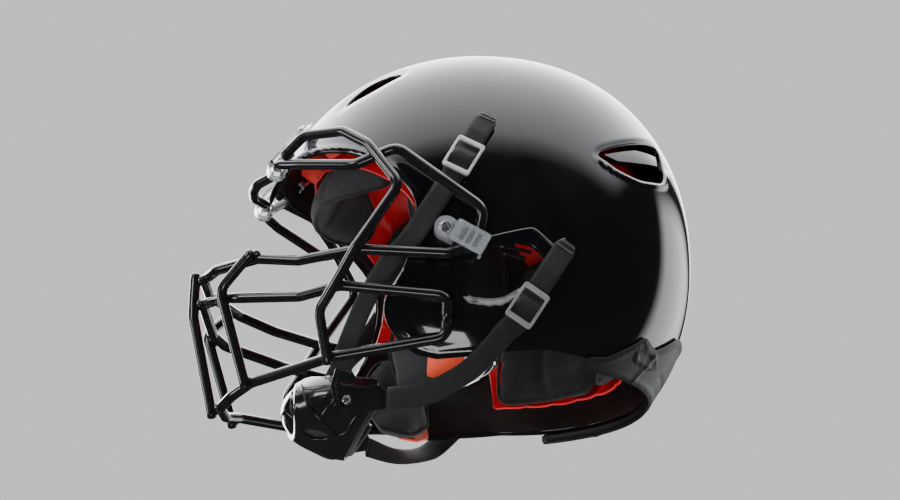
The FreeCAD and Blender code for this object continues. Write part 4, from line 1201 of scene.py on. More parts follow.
def build_pads():
    front = rounded_outline([(-150, 129), (-98, 127), (-72, 126.5), (-50, 129), (-41, 146), (-52, 163),
                             (-92, 174), (-150, 174)], 5)

    def kept_front(points):
        return np.minimum(inside_by(points[..., 1:], front), 77 - np.abs(points[..., 0]))
    crown = rounded_outline([(-36, -34), (-16, -46), (16, -46), (36, -34), (40, 60), (24, 86), (-24, 86),
                             (-40, 60)], 9)

    def kept_crown(points):
        return np.where(points[..., 2] > 120, inside_by(points[..., :2], crown), -5.0)
    rear = rounded_outline([(-36, 74), (36, 74), (34, 136), (-34, 136)], 9)
    neck = rounded_outline([(-30, 24), (30, 24), (34, 70), (-34, 70)], 8)

    def rear_rule(line):
        return lambda points: np.where(points[..., 1] > 60, inside_by(points[..., [0, 2]], line), -5.0)
    side = side_pad_rule([(-34, 92), (46, 88), (52, 108), (44, 152), (-18, 152), (-31, 140), (-38, 118)])
    rear_side = side_pad_rule([(44, 22.5), (112, 22), (114, 60), (109, 116), (84, 128), (62, 122),
                               (58, 84), (46, 66)], low=36)
    jaw = side_pad_rule([(-49, 14), (-40, -7), (-18, -8), (-4, 6), (-4, 34), (-14, 54), (-36, 56), (-47, 40)],
                        low=40)
    # The pads deep inside take the darker knit, which is painted shade for where they sit. The front and jaw
    # pads take the grey knit.
    plans = [("front_pad", PAD_TOP, PAD_BOTTOM, kept_front, "pad", lambda p: np.abs(np.abs(p[:, 0]) - 26)),
             ("crown_pad", PAD_TOP, PAD_BOTTOM, kept_crown, "pad_shaded_dark", lambda p: np.abs(p[:, 1] - 20)),
             ("rear_pad", PAD_TOP, PAD_BOTTOM, rear_rule(rear), "pad_shaded_dark", lambda p: np.abs(p[:, 2] - 105)),
             ("neck_pad", PAD_TOP, PAD_BOTTOM, rear_rule(neck), "pad_shaded_dark", None),
             ("side_pad_left", PAD_TOP, PAD_BOTTOM, side, "pad_shaded_dark", lambda p: np.abs(p[:, 1] - 9)),
             ("rear_side_pad_left", PAD_TOP, PAD_BOTTOM, rear_side, "pad_shaded_dark",
              lambda p: np.abs(p[:, 1] - 76)),
             ("jaw_pad_left", JAW_PAD_TOP, JAW_PAD_BOTTOM, jaw, "pad", lambda p: np.abs(p[:, 2] - 26))]
    for name, top, bottom, kept, paint, channel in plans:
        cushion, seam = sewn_pad(name + "_cushion", top, bottom, kept, PAINT[paint], channel=channel)
        plump(cushion, 3.0, 1.6)
        welt = round_bar(name + "_welt", seam, 1.15, PAINT["pad_shaded_dark"], sides=8, domed=False)
        fit(cushion, "helmet", "pad_fabric", name)
        fit(welt, "helmet", "pad_fabric")
        if name.endswith("_left"):
            right = name.replace("_left", "_right")
            twin = mirror_piece(cushion, right + "_cushion")
            finer = twin.modifiers.new("finer", "SUBSURF")
            finer.levels = finer.render_levels = 1
            fit(twin, "helmet", "pad_fabric", right)
            fit(mirror_piece(welt, right + "_welt"), "helmet", "pad_fabric")


def build_pad_gussets():
    """Dark web, in the knit darkened as painted shade, that joins each side pad to the pad behind it, and the
    two rods in the ear channel.
    """
    line = rounded_outline([(40, 84), (66, 80), (68, 122), (50, 150), (38, 150)], 4)
    web = sheet_of_form("pad_gusset_left", 24.3, None, on_left(line), 0.9, 0.4,
                        [PAINT["pad_shaded_dark"]], 0, 330, 120)
    both_sides(web, "pad_gusset", "helmet", "pad_fabric")
    for number, start, end in ((1, (100, 20, 79), (99, 39.5, 76)), (2, (99, 22, 74.5), (98, 36, 72))):
        rod = round_bar("ear_channel_rod_%d_left" % number, smooth_line([start, end], steps=8),
                        1.3, PAINT["bracket"], 14)
        both_sides(rod, "ear_channel_rod_%d" % number, "helmet", "bracket_plastic")


def build_ear_ridge():
    """Crisp moulded ridge over each ear panel."""
    for number, places in ((1, EAR_CREASE[2:6]), (2, EAR_CREASE[5:7]), (3, EAR_CREASE[6:])):
        path = np.array([on_side(y, z, -0.35) for y, z in smooth_line(places, steps=8)])
        rib = round_bar("ear_ridge_%d_left" % number, path, 1.15, PAINT["shell"], 14)
        both_sides(rib, "ear_ridge_%d" % number, "helmet", "shell_gloss")


def build_jaw_backing():
    line = rounded_outline([(-27, 14), (-26, -5), (-12, -6), (-3, -1), (-3, 34), (-12, 52),
                            (-34, 53), (-36, 38)], 3)
    sheet = sheet_of_form("jaw_pad_backing_left_sheet", 8.4, None, on_left(line), 1.6, 0.5,
                          [PAINT["backing"]], 0, 380, 170)
    twin = mirror_piece(sheet, "jaw_pad_backing_right_sheet")
    fit(sheet, "helmet", "backing_plastic", "jaw_pad_backing_left")
    fit(twin, "helmet", "backing_plastic", "jaw_pad_backing_right")


# ---------------------------------------------------------------- cage

WIRE_RADIUS, WIRE_BEND = 3.5, 11.0
TOUCHING, BEAD_SPACING = 7.2, 14
LOOP_MIDDLE = (113.4, -18, 25)
BROW_BAR = [(118.9, 0.5, 72), (120.4, 6, 97), (118.2, -21, 117), (108.5, -50, 141.5), (98, -76, 131.5),
            (66, -111, 141), (52.5, -122, 145), (31.5, -122, 145), (14, -132, 144), (0, -133.5, 144)]
UPPER_BAR = [(118.7, -5.6, 71), (118.3, -17, 66.5), (108.5, -75, 70), (79, -111, 70), (64, -136, 75),
             (28, -160, 77.5), (0, -166, 79)]
MIDDLE_BAR = [LOOP_MIDDLE, (116.6, -18, 38.5), (101.5, -86, 47), (77, -110, 46), (54.5, -147, 50.5),
              (42, -156, 54), (0, -166.5, 62)]
LOWER_BAR = [LOOP_MIDDLE, (110.2, -18, 12), (86.5, -89, 3), (42, -137.5, -3.5), (26, -148, -8),
             (0, -154, -9.5)]
CENTRE_UPRIGHT = [(0, -171.7, 82), (0, -172.6, 62), (0, -172.6, 52), (0, -159.2, -15)]
SIDE_UPRIGHT = [(67.1, -141.1, 77.5), (50, -159.5, 57), (46, -141.4, -8)]
CORNER_UPRIGHT = [(58.5, -118.8, 149.4), (70, -107, 160), (91, -83.5, 157), (106.4, -69, 143.5),
                  (119, -49.5, 112.5), (114.4, -77.3, 70), (106.1, -90.2, 46), (99, -99.5, 30),
                  (90, -92.3, -2)]


def right_of(points):
    return [(-x, y, z) for x, y, z in points]


def across(half):
    return half + [(-x, y, z) for x, y, z in reversed(half) if x > 0]


def build_cage():
    wires = {"brow_bar": across(BROW_BAR), "upper_bar": across(UPPER_BAR), "middle_bar": across(MIDDLE_BAR),
             "lower_bar": across(LOWER_BAR), "centre_upright": CENTRE_UPRIGHT,
             "side_upright_left": SIDE_UPRIGHT, "side_upright_right": right_of(SIDE_UPRIGHT),
             "corner_upright_left": CORNER_UPRIGHT, "corner_upright_right": right_of(CORNER_UPRIGHT)}
    paths = {}
    for name, points in wires.items():
        paths[name] = bent_path(points, WIRE_BEND)
        bar = round_bar(name + "_wire", paths[name], WIRE_RADIUS, PAINT["cage"], sides=24)
        fit(bar, "facemask", "cage_coating", name)
    beads = []
    names = list(paths)
    for i, first in enumerate(names):
        for second in names[i + 1:]:
            beads += weld_spots(paths[first], paths[second])
    points, faces = gather(*beads)
    fit(make_piece("cage_weld_beads", points, faces, PAINT["cage"]), "facemask", "cage_coating")


def weld_spots(first, second):
    """Coated weld fillets where two wires touch."""
    apart = np.linalg.norm(first[:, None, :] - second[None, :, :], axis=2)
    spots, out = [], []
    for flat in np.argsort(apart, axis=None)[:400]:
        i, j = np.unravel_index(flat, apart.shape)
        if apart[i, j] > TOUCHING:
            break
        middle = (first[i] + second[j]) / 2
        if all(np.linalg.norm(middle - s) > BEAD_SPACING for s in spots):
            spots.append(middle)
            u = first[min(i + 1, len(first) - 1)] - first[max(i - 1, 0)]
            v = second[min(j + 1, len(second) - 1)] - second[max(j - 1, 0)]
            u, v = u / np.linalg.norm(u), v / np.linalg.norm(v)
            away = second[j] - first[i]
            if np.linalg.norm(away) < 1:
                continue
            away /= np.linalg.norm(away)
            if abs(u @ v) > 0.97:
                v = np.cross(away, u)
            out.append(weld_bead(middle, u, v, away))
    return out


def weld_bead(middle, u, v, away, rows=9, sides=20):
    points = []
    for r in range(rows):
        t = -1 + 2 * r / (rows - 1)
        share = 0.5 + 0.5 * t
        long_u, long_v = 4.9 * (1 - share) + 3.1 * share, 3.1 * (1 - share) + 4.9 * share
        waist = math.sqrt(max(1 - (t * 0.96) ** 2, 0.0)) ** 0.8
        for s in range(sides):
            turn = 2 * math.pi * s / sides
            points.append(middle + away * t * 3.0 + u * math.cos(turn) * long_u * waist
                          + v * math.sin(turn) * long_v * waist)
    return np.array(points), tube_faces(rows, sides)


# ---------------------------------------------------------------- cage clips and screws

HINGE = np.array([0, -122.0, 145.0])
CLIP_SLOPE = math.radians(48.7)
SIDE_SCREW = (-18.8, 84.0)
SCREW_HOLE = 2.75


def cross_screw(axes, radius, height, shank):
    """A pan-head screw with a cross recess."""
    arm, wide = radius * 0.62, radius * 0.16
    cross = [(arm, wide), (wide, wide), (wide, arm), (-wide, arm), (-wide, wide), (-arm, wide), (-arm, -wide),
             (-wide, -wide), (-wide, -arm), (wide, -arm), (wide, -wide), (arm, -wide)]
    top = plate(axes, circle(radius * 0.8, 32), height * 0.35, height, [cross])
    skirt = turned(axes, [(radius * 0.2, height * 0.3), (radius * 0.8, height * 0.3),
                          (radius * 0.8, height * 0.97), (radius * 0.93, height * 0.78),
                          (radius, height * 0.45), (radius, 0.0), (radius * 0.55, 0.0)])
    floor = turned(axes, [(radius * 0.78, height * 0.1), (radius * 0.78, height * 0.36)])
    stem = turned(axes, [(radius * 0.5, -shank), (radius * 0.54, -shank + 0.6), (radius * 0.54, 0.1)], 20)
    return gather(top, skirt, floor, stem)


def side_clip_axes():
    origin = np.array([half_width(*SIDE_SCREW), *SIDE_SCREW], float)
    ahead = np.array([0.055, 0.879, -0.477])
    ahead /= np.linalg.norm(ahead)
    away = LEFTWARD - ahead * ahead[0]
    return frame_of(origin, ahead, away)


def build_side_clips():
    axes = side_clip_axes()
    origin, along, over, away = axes
    half = 7.7
    nose = [(-half * math.cos(t), half * math.sin(t)) for t in np.linspace(-math.pi / 2, math.pi / 2, 19)]
    hole, dish = circle(SCREW_HOLE, 28), circle(4.95, 36)
    foot = plate(axes, [(8.6, -half)] + nose + [(8.6, half)], 1.0, 5.3, [hole])
    collar = plate(axes, nose + [(4.4, half - 0.4), (5.6, 4.5), (5.6, -4.5), (4.4, -half + 0.4)],
                   5.3, 7.9, [dish])
    bridge_outline = panel(5.2, 29.3, half, [1.5, 2.4, 2.4, 1.5])
    window = [panel(x, x + 3.6, 5.3, 1.0) for x in (10.6, 15.6, 20.6)]
    bridge = plate(axes, bridge_outline, 11.6, 12.7, ())
    skin = plate(axes, bridge_outline, 12.7, 13.5, window)
    tail = plate(axes, panel(27.0, 29.2, half - 0.2, 0.8), 3.6, 11.6)
    riser = plate(axes, panel(5.2, 8.4, half - 0.3, 0.8), 5.3, 11.6)
    ribs = [plate(axes, panel(x, x + 1.1, half - 0.8, 0.4), 13.5, 14.0) for x in (14.6, 19.6)]
    points, faces = gather(foot, collar, bridge, skin, tail, riser, *ribs)
    clip = soften(make_piece("side_clip_left_moulding", points, faces, PAINT["clear"]), 0.45, 2)
    both_sides(clip, "side_clip_moulding", "facemask", "clear_plastic", "side_clip")
    seat = frame_of(origin + away * 5.6, along, away)
    washer = turned(seat, [(2.9, 0.0), (4.7, 0.0), (4.7, 0.35), (4.2, 0.75), (3.2, 0.5), (2.9, 0.5)], 32)
    head = frame_of(origin + away * 6.1, along + over * 0.35, away)
    points, faces = gather(washer, cross_screw(head, 4.1, 2.2, 5.0))
    screw = soften(make_piece("side_clip_screw_left", points, faces, PAINT["steel"]), 0.12, 1)
    pair_up(screw, "side_clip_screw", "facemask", "fastener_steel", "side_clip_screws")


def build_front_clips():
    rise = np.array([0, math.cos(CLIP_SLOPE), math.sin(CLIP_SLOPE)])
    away = np.array([0, -math.sin(CLIP_SLOPE), math.cos(CLIP_SLOPE)])
    centre = HINGE + np.array([42.0, 0, 0])
    inner, outer = 3.85, 6.6
    half = 6.0
    sweep = np.linspace(-math.radians(8), math.radians(352 - 70), 40)
    profile = [(-outer * math.sin(t), outer * math.cos(t)) for t in sweep]
    back = [(-inner * math.sin(t), inner * math.cos(t)) for t in reversed(sweep)]
    side_axes = (centre - LEFTWARD * half, rise, away, LEFTWARD)
    hook = plate(side_axes, rounded_outline(profile, 0.1, 1).tolist() + back, 0, 2 * half)
    frame_axes = (centre + away * inner, rise, np.array([-1.0, 0, 0]), away)
    strip = rounded_outline([(-2.5, -half), (33, -half), (39.5, -3.6), (39.5, 3.6), (33, half), (-2.5, half)],
                            [1.2, 2.5, 2.5, 2.5, 2.5, 1.2])
    screw_at = np.array([42.0, -101.0, 167.8])
    along_at = float((screw_at - frame_axes[0]) @ rise)
    hole, dish = circle(SCREW_HOLE, 28, (along_at, 0)), circle(4.9, 32, (along_at, 0))
    slab = plate(frame_axes, strip, 0.0, 2.4, [hole])
    small = strip.copy()
    small[:, 0] = 18 + (small[:, 0] - 18) * 0.93
    small[:, 1] *= 0.86
    raised = plate(frame_axes, small, 2.4, 3.5, [dish])
    ribs = [plate(frame_axes, panel(x, x + 1.3, 4.6, 0.5), 3.4, 4.1) for x in (5.5, 9.5, 13.5)]
    boss_frame = (screw_at, rise, np.array([-1.0, 0, 0]), away)
    boss = turned(boss_frame, [(2.8, 1.2), (5.1, 2.2), (5.0, 4.9), (2.8, 4.9)], 28)
    points, faces = gather(hook, slab, raised, boss, *ribs)
    clip = soften(make_piece("front_clip_left_moulding", points, faces, PAINT["clear"]), 0.45, 2)
    both_sides(clip, "front_clip_moulding", "helmet", "clear_plastic", "front_clip")
    lift = float((frame_axes[0] - screw_at) @ away) + 2.6
    head = frame_of(screw_at + away * lift, rise * 0.8 + np.array([0.6, 0, 0]), away)
    points, faces = cross_screw(head, 4.4, 2.3, 6.0)
    screw = soften(make_piece("front_clip_screw_left", points, faces, PAINT["steel"]), 0.12, 1)
    pair_up(screw, "front_clip_screw", "helmet", "fastener_steel", "front_clip_screws")


# ---------------------------------------------------------------- chin strap

UPPER_BUCKLE, LOWER_BUCKLE = (-6.0, 136.0), (34.0, 34.0)
UPPER_TAB_END, LOWER_TAB_END = (12.0, 167.5), (61.5, 78.0)
UPPER_FREE = [((110.2, -41.5, 77.5), (0.97, -0.24, -0.02)), ((104, -55.5, 62), (0.9, -0.43, 0)),
              ((85.5, -67, 43), (0.85, -0.52, 0)), ((69, -75.5, 22), (0.85, -0.5, 0)),
              ((55.5, -80, 4), (0.97, -0.2, 0))]
LOWER_FREE = [((107.2, 11, 5.5), (0.96, 0.1, -0.25)), ((102.6, 2, -3.5), (0.93, 0.05, -0.35)),
              ((93.5, -9, -10.5), (0.86, 0, -0.5)), ((75, -28, -16.5), (0.85, -0.25, -0.4)),
              ((58.5, -49.5, -15.5), (0.95, -0.3, -0.1))]
STRAP_WIDE, STRAP_THICK, STRAP_LIFT = 14.5, 1.7, 2.15


def between(a, b, share):
    return a[0] + (b[0] - a[0]) * share, a[1] + (b[1] - a[1]) * share


def webbing(name, stations, wide=STRAP_WIDE, thick=STRAP_THICK, tip=0.0, steps=8):
    """Flat webbing along stations of (centre, away), with rounded edges and UVs along its length."""
    centres = np.array([c for c, _ in stations], float)
    aways = np.array([n for _, n in stations], float)
    line = smooth_line(centres, False, steps)
    normals = smooth_line(aways, False, steps)
    run = np.gradient(line, axis=0)
    run /= np.linalg.norm(run, axis=1, keepdims=True)
    normals -= run * np.sum(run * normals, 1, keepdims=True)
    normals /= np.linalg.norm(normals, axis=1, keepdims=True)
    sideways = np.cross(run, normals)
    length = np.concatenate([[0], np.cumsum(np.linalg.norm(np.diff(line, axis=0), axis=1))])
    h, t = wide / 2, thick / 2
    section = []
    for k in range(7):
        section.append((-h + 2 * h * k / 6, t if 0 < k < 6 else t * 0.55))
    section.append((h + 0.25, 0))
    for k in range(7):
        section.append((h - 2 * h * k / 6, -t if 0 < k < 6 else -t * 0.55))
    section.append((-h - 0.25, 0))
    ends = length[-1] - length
    points, uvs = [], []
    rng = np.random.default_rng(7)
    wobble = np.convolve(rng.normal(0, 0.16, len(line)), np.ones(5) / 5, "same")
    for r in range(len(line)):
        taper = 1.0
        if tip:
            taper = min(1.0, 0.62 + 0.38 * ends[r] / tip)
        for u, v in section:
            points.append(line[r] + sideways[r] * (u * taper + wobble[r]) + normals[r] * v)
            uvs.append((length[r] * MM, u * MM))
    piece = make_piece(name, points, tube_faces(len(line), len(section)), PAINT["webbing"])
    layer = piece.data.uv_layers.new(name="along")
    for loop in piece.data.loops:
        layer.data[loop.index].uv = uvs[loop.vertex_index]
    return piece


def station(y, z, lift):
    return on_side(y, z, lift), side_normal(y, z)


def strap_axes(buckle, tab_end, lift):
    away = side_normal(*buckle)
    origin = on_side(*buckle, lift)
    return frame_of(origin, on_side(*between(buckle, tab_end, 0.3), lift) - origin, away)


def buckle_ends(buckle, tab_end):
    run = math.hypot(tab_end[0] - buckle[0], tab_end[1] - buckle[1])
    return between(buckle, tab_end, -13 / run), between(buckle, tab_end, 13 / run)


def build_straps():
    routes = (("upper", UPPER_BUCKLE, UPPER_TAB_END, [(-21, 110), (-33, 90)], UPPER_FREE),
              ("lower", LOWER_BUCKLE, LOWER_TAB_END, [(20.5, 17.5)], LOWER_FREE))
    for name, buckle, tab_end, on_shell, free in routes:
        low, high = buckle_ends(buckle, tab_end)
        run = math.hypot(high[0] - low[0], high[1] - low[1])
        stations = []
        for s, lift in ((0, 2.15), (3.2, 2.15), (7.0, 3.1), (10.0, 5.4), (13.0, 6.1), (16.0, 5.4),
                        (19.0, 3.1), (22.8, 2.15), (26, 2.15)):
            stations.append(station(*between(high, low, s / run), lift))
        previous = low
        for spot in on_shell:
            stations.append(station(*between(previous, spot, 0.5), STRAP_LIFT))
            stations.append(station(*spot, STRAP_LIFT))
            previous = spot
        stations += [(np.array(c, float), np.array(n, float)) for c, n in free]
        strap = webbing(name + "_strap_left_webbing", stations)
        both_sides(strap, name + "_strap_webbing", "helmet", "webbing", name + "_strap")
        start = between(high, tab_end, 0.03)
        tab = [station(*between(start, tab_end, s), STRAP_LIFT + 1.5 * min(1, s / 0.35))
               for s in (0, 0.18, 0.35, 0.6, 0.85, 1)]
        piece = webbing(name + "_tab_left_webbing", tab, tip=5.0)
        both_sides(piece, name + "_tab_webbing", name + "_tab_%s", "webbing", name + "_tab")
        bars = [piece_bar(tab, 0.93, 0.5), piece_bar(tab, 0.80, 0.5)]
        points, faces = gather(*bars)
        stitches = make_piece(name + "_tab_stitching_left", points, faces, PAINT["bracket"])
        pair_up(stitches, name + "_tab_stitching", name + "_tab_%s", "webbing")


def piece_bar(stations, share, height):
    """A row of bar-tack stitches across a tab."""
    at = share * (len(stations) - 1)
    k = min(int(at), len(stations) - 2)
    t = at - k
    centre = stations[k][0] * (1 - t) + stations[k + 1][0] * t
    axes = frame_of(centre + stations[k][1] * (STRAP_THICK / 2 - 0.15), stations[k + 1][0] - stations[k][0],
                    stations[k][1])
    rows = []
    for x in np.linspace(-5.2, 5.2, 9):
        rows.append(plate(axes, rounded_outline([(-0.55, x - 0.42), (0.55, x - 0.42), (0.55, x + 0.42),
                                                 (-0.55, x + 0.42)], 0.3, 2), 0, height))
    return gather(*rows)


def build_buckles():
    for level, buckle, tab_end in (("upper", UPPER_BUCKLE, UPPER_TAB_END),
                                   ("lower", LOWER_BUCKLE, LOWER_TAB_END)):
        axes = strap_axes(buckle, tab_end, 3.35)
        outline = box_outline(26.0, 19.5, 2.2, 5)
        windows = [rounded_outline([(x, -7.85), (x + 7.9, -7.85), (x + 7.9, 7.85), (x, 7.85)], 1.1, 4)
                   for x in (-9.5, 1.6)]
        body = plate(axes, outline, 0.0, 2.0, windows)
        ridge = [plate(axes, panel(x, x + 2.0, 8.4, 0.8), 1.9, 2.35) for x in (-12.2, 10.2)]
        rails = [plate(axes, rounded_outline([(-9.4, y), (9.4, y), (9.4, y + 1.0), (-9.4, y + 1.0)], 0.4),
                       1.9, 2.2) for y in (-9.25, 8.25)]
        points, faces = gather(body, *ridge, *rails)
        piece = soften(make_piece(level + "_buckle_left_frame", points, faces, PAINT["silver"]), 0.35, 3)
        both_sides(piece, level + "_buckle_frame", "helmet", "buckle_metal", level + "_buckle")


def build_snaps():
    for level, spot in (("upper", (8.0, 160.5)), ("lower", (56.5, 70.5))):
        cap = frame_of(on_side(*spot, 0.45), UPWARD, side_normal(*spot))
        body = turned(cap, [(3.05, 0.0), (3.05, 1.55), (0.6, 1.7), (0.6, 1.95), (3.0, 1.95), (4.6, 1.75),
                            (5.5, 1.2), (5.6, 0.5), (5.2, 0.05)], 40)
        piece = make_piece(level + "_snap_cap_left_socket", *body, PAINT["nickel"])
        both_sides(soften(piece, 0.15, 1), level + "_snap_cap_socket", level + "_tab_%s", "snap_metal",
                   level + "_snap_cap")


# ---------------------------------------------------------------- chin cup

CUP_MIDDLE = np.array([0, -62.0, -10.0])
CUP_REACH = np.array([50.0, 53.0, 30.0])
RIVET = (-75.0, -16.0)
CUP_SIDE = [(-125, -50), (-76, -50), (-51, -8), (-56, 2), (-90, 6), (-104, 12), (-125, 12)]
PAD_SIDE = [(-125, -50), (-71, -50), (-47, -7), (-52, 6), (-90, 10), (-102, 14), (-125, 14)]


def cup_sheet(name, shrink, outline, holes, relief, wall, rim, material, around=150, across=90):
    """A sheet on the chin cup's round form."""
    line = rounded_outline(outline, [1, 1, 4, 4, 4, 4, 1])

    def base(a, b):
        reach = CUP_REACH - shrink
        return CUP_MIDDLE + np.stack([reach[0] * np.sin(b), -reach[1] * np.cos(b) * np.cos(a),
                                      reach[2] * np.cos(b) * np.sin(a)], -1)

    def kept(points):
        inside = inside_by(points[..., 1:], line)
        mirrored = points * np.array([-1, 1, 1])
        for hole in holes:
            inside = np.minimum(inside, np.minimum(hole(points), hole(mirrored)))
        return inside - rim

    def away_at(points):
        n = (points - CUP_MIDDLE) / (CUP_REACH - shrink) ** 2
        return n / np.linalg.norm(n, axis=-1, keepdims=True)

    def place(a, b):
        here = base(a, b)
        return here + away_at(here) * relief(here)[..., None]
    lean = math.radians(87)
    a, b, faces = moulded_sheet(base, kept, np.linspace(-math.pi * 0.98, math.pi * 0.98, around),
                                np.linspace(-lean, lean, across), False)
    step = 0.003
    outer = place(a, b)
    normals = np.cross(place(a + step, b) - place(a - step, b), place(a, b + step) - place(a, b - step))
    normals /= np.maximum(np.linalg.norm(normals, axis=1, keepdims=True), 1e-12)
    normals *= np.sign(np.sum(normals * away_at(outer), 1, keepdims=True))
    faces = facing_out(faces, outer, normals)
    return thick_sheet(name, outer, normals, faces, wall, rim, [material])


def round_hole(y, z, radius, low_x, high_x, stretch=1.0):
    def rule(points):
        d = np.hypot((points[..., 1] - y) / stretch, points[..., 2] - z) - radius
        return np.where((points[..., 0] > low_x) & (points[..., 0] < high_x), d, 99.0)
    return rule


def vent_hole(x, z, wide, tall):
    def rule(points):
        d = (np.hypot((points[..., 0] - x) / wide, (points[..., 2] - z) / tall) - 1) * min(wide, tall)
        return np.where(points[..., 1] < -78, d, 99.0)
    return rule


def build_chin_cup():
    holes = [round_hole(*RIVET, 1.95, 30, 60), vent_hole(17, -12, 3.2, 6.5), vent_hole(19, -31, 6.0, 2.6)]

    outer_seam = smooth_line([(-103, 3), (-100, -13), (-89, -26), (-76, -33), (-68, -24)])
    facet_line = smooth_line([(-86, 4), (-82, -10), (-90, -23)])

    def relief(points):
        x, z = np.abs(points[..., 0]), points[..., 2]
        front = points[..., 1] < -80
        side = points[..., 1:]
        ring = np.hypot(x / 1.25, (z + 10) * 1.15)
        rise = -1.3 * step_up(21 - ring, 0, 2.5) * front
        rise = rise + 0.5 * np.exp(-((ring - 21) / 1.2) ** 2) * front
        groove = 3.0 - near_line(side, facet_line + np.array([5.5, -2.0]))
        rise = rise - 0.8 * step_up(groove, 0, 2.0) * (x > 14)
        return rise - 0.4
    ribs = []
    for line in (outer_seam, facet_line):
        flat = (line - CUP_MIDDLE[1:]) / CUP_REACH[1:]
        out = CUP_REACH[0] * np.sqrt(np.maximum(1 - np.sum(flat ** 2, 1), 0))
        ribs.append(np.column_stack([out - 0.4, line])[out > 12])
    for number, path in enumerate(ribs, 1):
        rib = round_bar("chin_cup_rib_%d_left" % number, path, 1.0, PAINT["cup"], 12)
        both_sides(rib, "chin_cup_rib_%d" % number, "chin_cup", "cup_plastic")
    cup = cup_sheet("chin_cup_shell", 0.0, CUP_SIDE, holes, relief, 2.4, 0.7, PAINT["cup"])
    fit(cup, "chin_cup", "cup_plastic", "chin_cup")

    def puff(points):
        x = points[..., 0]
        lobes = np.abs(np.sin((points[..., 1] + 62) / 17 * math.pi)) ** 0.5
        return -0.5 + 0.35 * lobes - 0.6 * np.exp(-(x / 1.6) ** 2)
    pad = cup_sheet("chin_cup_padding", 3.5, PAD_SIDE, [], puff, 5.9, 2.7, PAINT["pad_shaded_dark"])
    fit(pad, "chin_cup", "pad_fabric", "chin_cup_pad")


def build_brackets():
    outline = rounded_outline([(-86, -6), (-83, 6), (-75, 9), (-68, -2), (-54, -6), (-48, -10), (-49, -20),
                               (-66, -24), (-78, -24), (-84, -17)], 2.4)
    axes = (np.array([51.0, 0, 0]), REARWARD, UPWARD, LEFTWARD)
    base = plate(axes, outline, 0.0, 1.3, [circle(2.1, 24, RIVET)])
    ring = circle(4.7, 32, RIVET)
    middle = outline.mean(axis=0)
    small = middle + (outline - middle) * 0.84
    web = plate(axes, small, 1.3, 1.8, [ring])
    wing_axes = frame_of((52.6, -67.0, -3.5), (0, 1.0, -0.12), (0.75, 0, 0.66))
    wing = plate(wing_axes, rounded_outline([(-13, -4.5), (-9.5, 5), (-2, 3.2), (9, 5.5), (13, 0.5),
                                             (3, -5)], 1.4), -1.3, 0.7)
    points, faces = gather(base, web, wing)
    bracket = soften(make_piece("strap_bracket_left_plate", points, faces, PAINT["bracket"]), 0.4, 3)
    both_sides(bracket, "strap_bracket_plate", "helmet", "bracket_plastic", "strap_bracket")
    over = turned((np.array([53.1, *RIVET]), REARWARD, UPWARD, LEFTWARD),
                  [(3.4, 0.0), (3.6, 0.4), (3.2, 1.1), (1.6, 1.6), (1.3, 1.25), (0.4, 1.2)], 36)
    stem = turned((np.array([44.8, *RIVET]), REARWARD, UPWARD, LEFTWARD),
                  [(1.6, 0.0), (1.83, 0.4), (1.83, 8.6)], 24)
    rivet = make_piece("cup_rivet_left", *gather(over, stem), PAINT["steel"])
    soften(rivet, 0.12, 1)
    pair_up(rivet, "cup_rivet", "helmet", "fastener_steel", "cup_rivets")


# ---------------------------------------------------------------- frame pieces that stay as they are

def finish_frame_pieces():
    for node, paint in (("absorbers_top_and_back", "cups"), ("absorbers_left", "cups"),
                        ("absorbers_right", "cups"), ("tee_nuts", "steel"), ("snap_studs", "nickel"),
                        ("vent_fin_left", "bracket"), ("vent_fin_right", "bracket")):
        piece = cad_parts[node]
        piece.data.materials.clear()
        piece.data.materials.append(PAINT[paint])
        soften(piece, 0.3, 2)


# ---------------------------------------------------------------- room

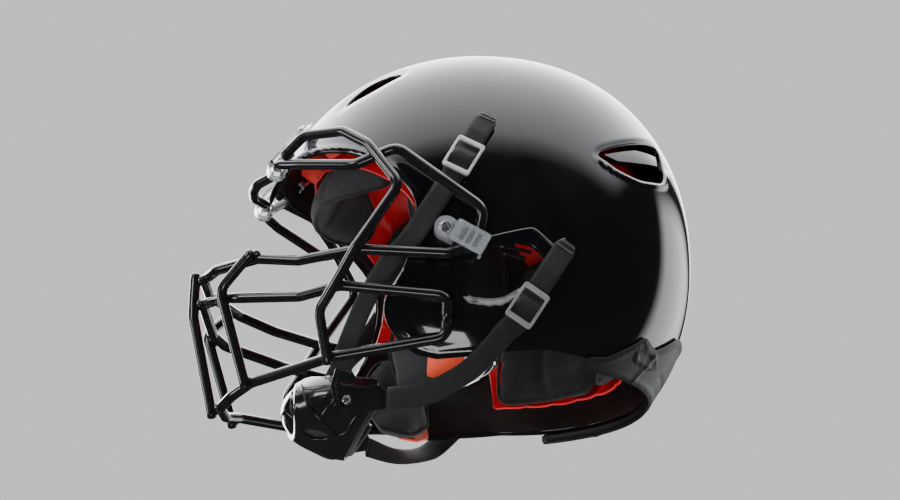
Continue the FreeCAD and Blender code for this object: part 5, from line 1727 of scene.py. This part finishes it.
def build_room():
    camera_data = bpy.data.cameras.new("studio_camera")
    camera_data.sensor_width, camera_data.lens = 36.0, 177.6
    camera_data.clip_end = 60
    camera = bpy.data.objects.new("studio_camera", camera_data)
    bpy.context.collection.objects.link(camera)
    towards = Vector((0.941, -0.131, -0.312)).normalized()
    aim = Vector((0, 0, 0.108))
    camera.location = aim + towards * 3.0
    camera.rotation_euler = (-towards).to_track_quat("-Z", "Y").to_euler()
    bpy.context.scene.camera = camera
    reach, level = 9000, -1400
    ground = make_piece("studio_floor", [(-reach, -reach, level), (reach, -reach, level),
                                         (reach, reach, level), (-reach, reach, level)],
                        [[0, 1, 2, 3]], PAINT["floor"], False)
    ground.visible_glossy = False
    lamp("front_soft", (1.0, -1.8, 0.7), (0, -0.1, 0.08), 10, 0.7, 0.7)
    lamp("ahead_soft", (-0.1, -2.2, 0.0), (0, 0, 0.03), 9, 0.9, 0.6)
    lamp("low_fill", (1.8, -0.7, -1.1), (0, 0, 0.08), 6, 0.8, 0.5)
    lamp("far_side", (-1.8, -0.6, 0.5), (0, 0, 0.1), 14, 0.8, 0.8)
    world = bpy.data.worlds.new("studio_light")
    bpy.context.scene.world = world
    world.use_nodes = True
    tree = world.node_tree
    soft = tree.nodes["Background"]
    split = tree.nodes.new("ShaderNodeSeparateXYZ")
    tree.links.new(tree.nodes.new("ShaderNodeTexCoord").outputs["Generated"], split.inputs[0])
    x, y, z = split.outputs
    over = overhead_panel(tree, x, y, z)
    behind = rear_panel(tree, x, y, z)
    total = maths(tree, "ADD", maths(tree, "ADD", over, behind), 0.018)
    tree.links.new(total, soft.inputs["Strength"])
    soft.inputs["Color"].default_value = (0.97, 0.975, 1.0, 1.0)
    backdrop = tree.nodes.new("ShaderNodeBackground")
    backdrop.inputs["Color"].default_value = (0.80, 0.80, 0.81, 1)
    backdrop.inputs["Strength"].default_value = 1.0
    mix = tree.nodes.new("ShaderNodeMixShader")
    path = tree.nodes.new("ShaderNodeLightPath")
    tree.links.new(path.outputs["Is Camera Ray"], mix.inputs[0])
    tree.links.new(soft.outputs[0], mix.inputs[1])
    tree.links.new(backdrop.outputs[0], mix.inputs[2])
    tree.links.new(mix.outputs[0], tree.nodes["World Output"].inputs["Surface"])


def between_edges(tree, value, start, full, hold, end):
    """1 between full and hold, easing to 0 at start and end."""
    rise = spread(tree, value, start, full)
    fall = spread(tree, value, hold, end, 1.0, 0.0)
    return maths(tree, "MULTIPLY", rise, fall)


def overhead_panel(tree, x, y, z):
    """A wide soft panel over the helmet, brighter towards its far side."""
    height = maths(tree, "MAXIMUM", z, 0.05)
    out, ahead = maths(tree, "DIVIDE", x, height), maths(tree, "DIVIDE", y, height)
    mask = between_edges(tree, out, -4.0, -2.0, 0.74, 0.98)
    mask = maths(tree, "MULTIPLY", mask, between_edges(tree, ahead, -1.6, -0.7, 0.95, 1.35))
    mask = maths(tree, "MULTIPLY", mask, spread(tree, z, 0.12, 0.3))
    glow = spread(tree, out, 0.95, -0.70, 0.9, 5.5)
    return maths(tree, "MULTIPLY", mask, glow)


def rear_panel(tree, x, y, z):
    """A tall soft panel behind the helmet."""
    away = maths(tree, "MAXIMUM", y, 0.05)
    mask = between_edges(tree, maths(tree, "DIVIDE", x, away), -1.9, -0.9, -0.22, -0.06)
    steepness = maths(tree, "DIVIDE", z, away)
    mask = maths(tree, "MULTIPLY", mask, between_edges(tree, steepness, -0.6, -0.3, 0.45, 0.62))
    return maths(tree, "MULTIPLY", maths(tree, "MULTIPLY", mask, spread(tree, y, 0.2, 0.4)), 2.4)


def lamp(name, spot, aim, power, wide, tall):
    data = bpy.data.lights.new(name, "AREA")
    data.energy, data.shape, data.size, data.size_y = power, "RECTANGLE", wide, tall
    light = bpy.data.objects.new(name, data)
    bpy.context.collection.objects.link(light)
    light.location = spot
    light.rotation_euler = (Vector(aim) - Vector(spot)).to_track_quat("-Z", "Y").to_euler()


build_room()
build_shell()
build_rear_bumper()
build_front_bumper()
build_liner()
build_pads()
build_pad_gussets()
build_ear_ridge()
build_jaw_backing()
build_cage()
build_side_clips()
build_front_clips()
build_straps()
build_buckles()
build_snaps()
build_chin_cup()
build_brackets()
finish_frame_pieces()
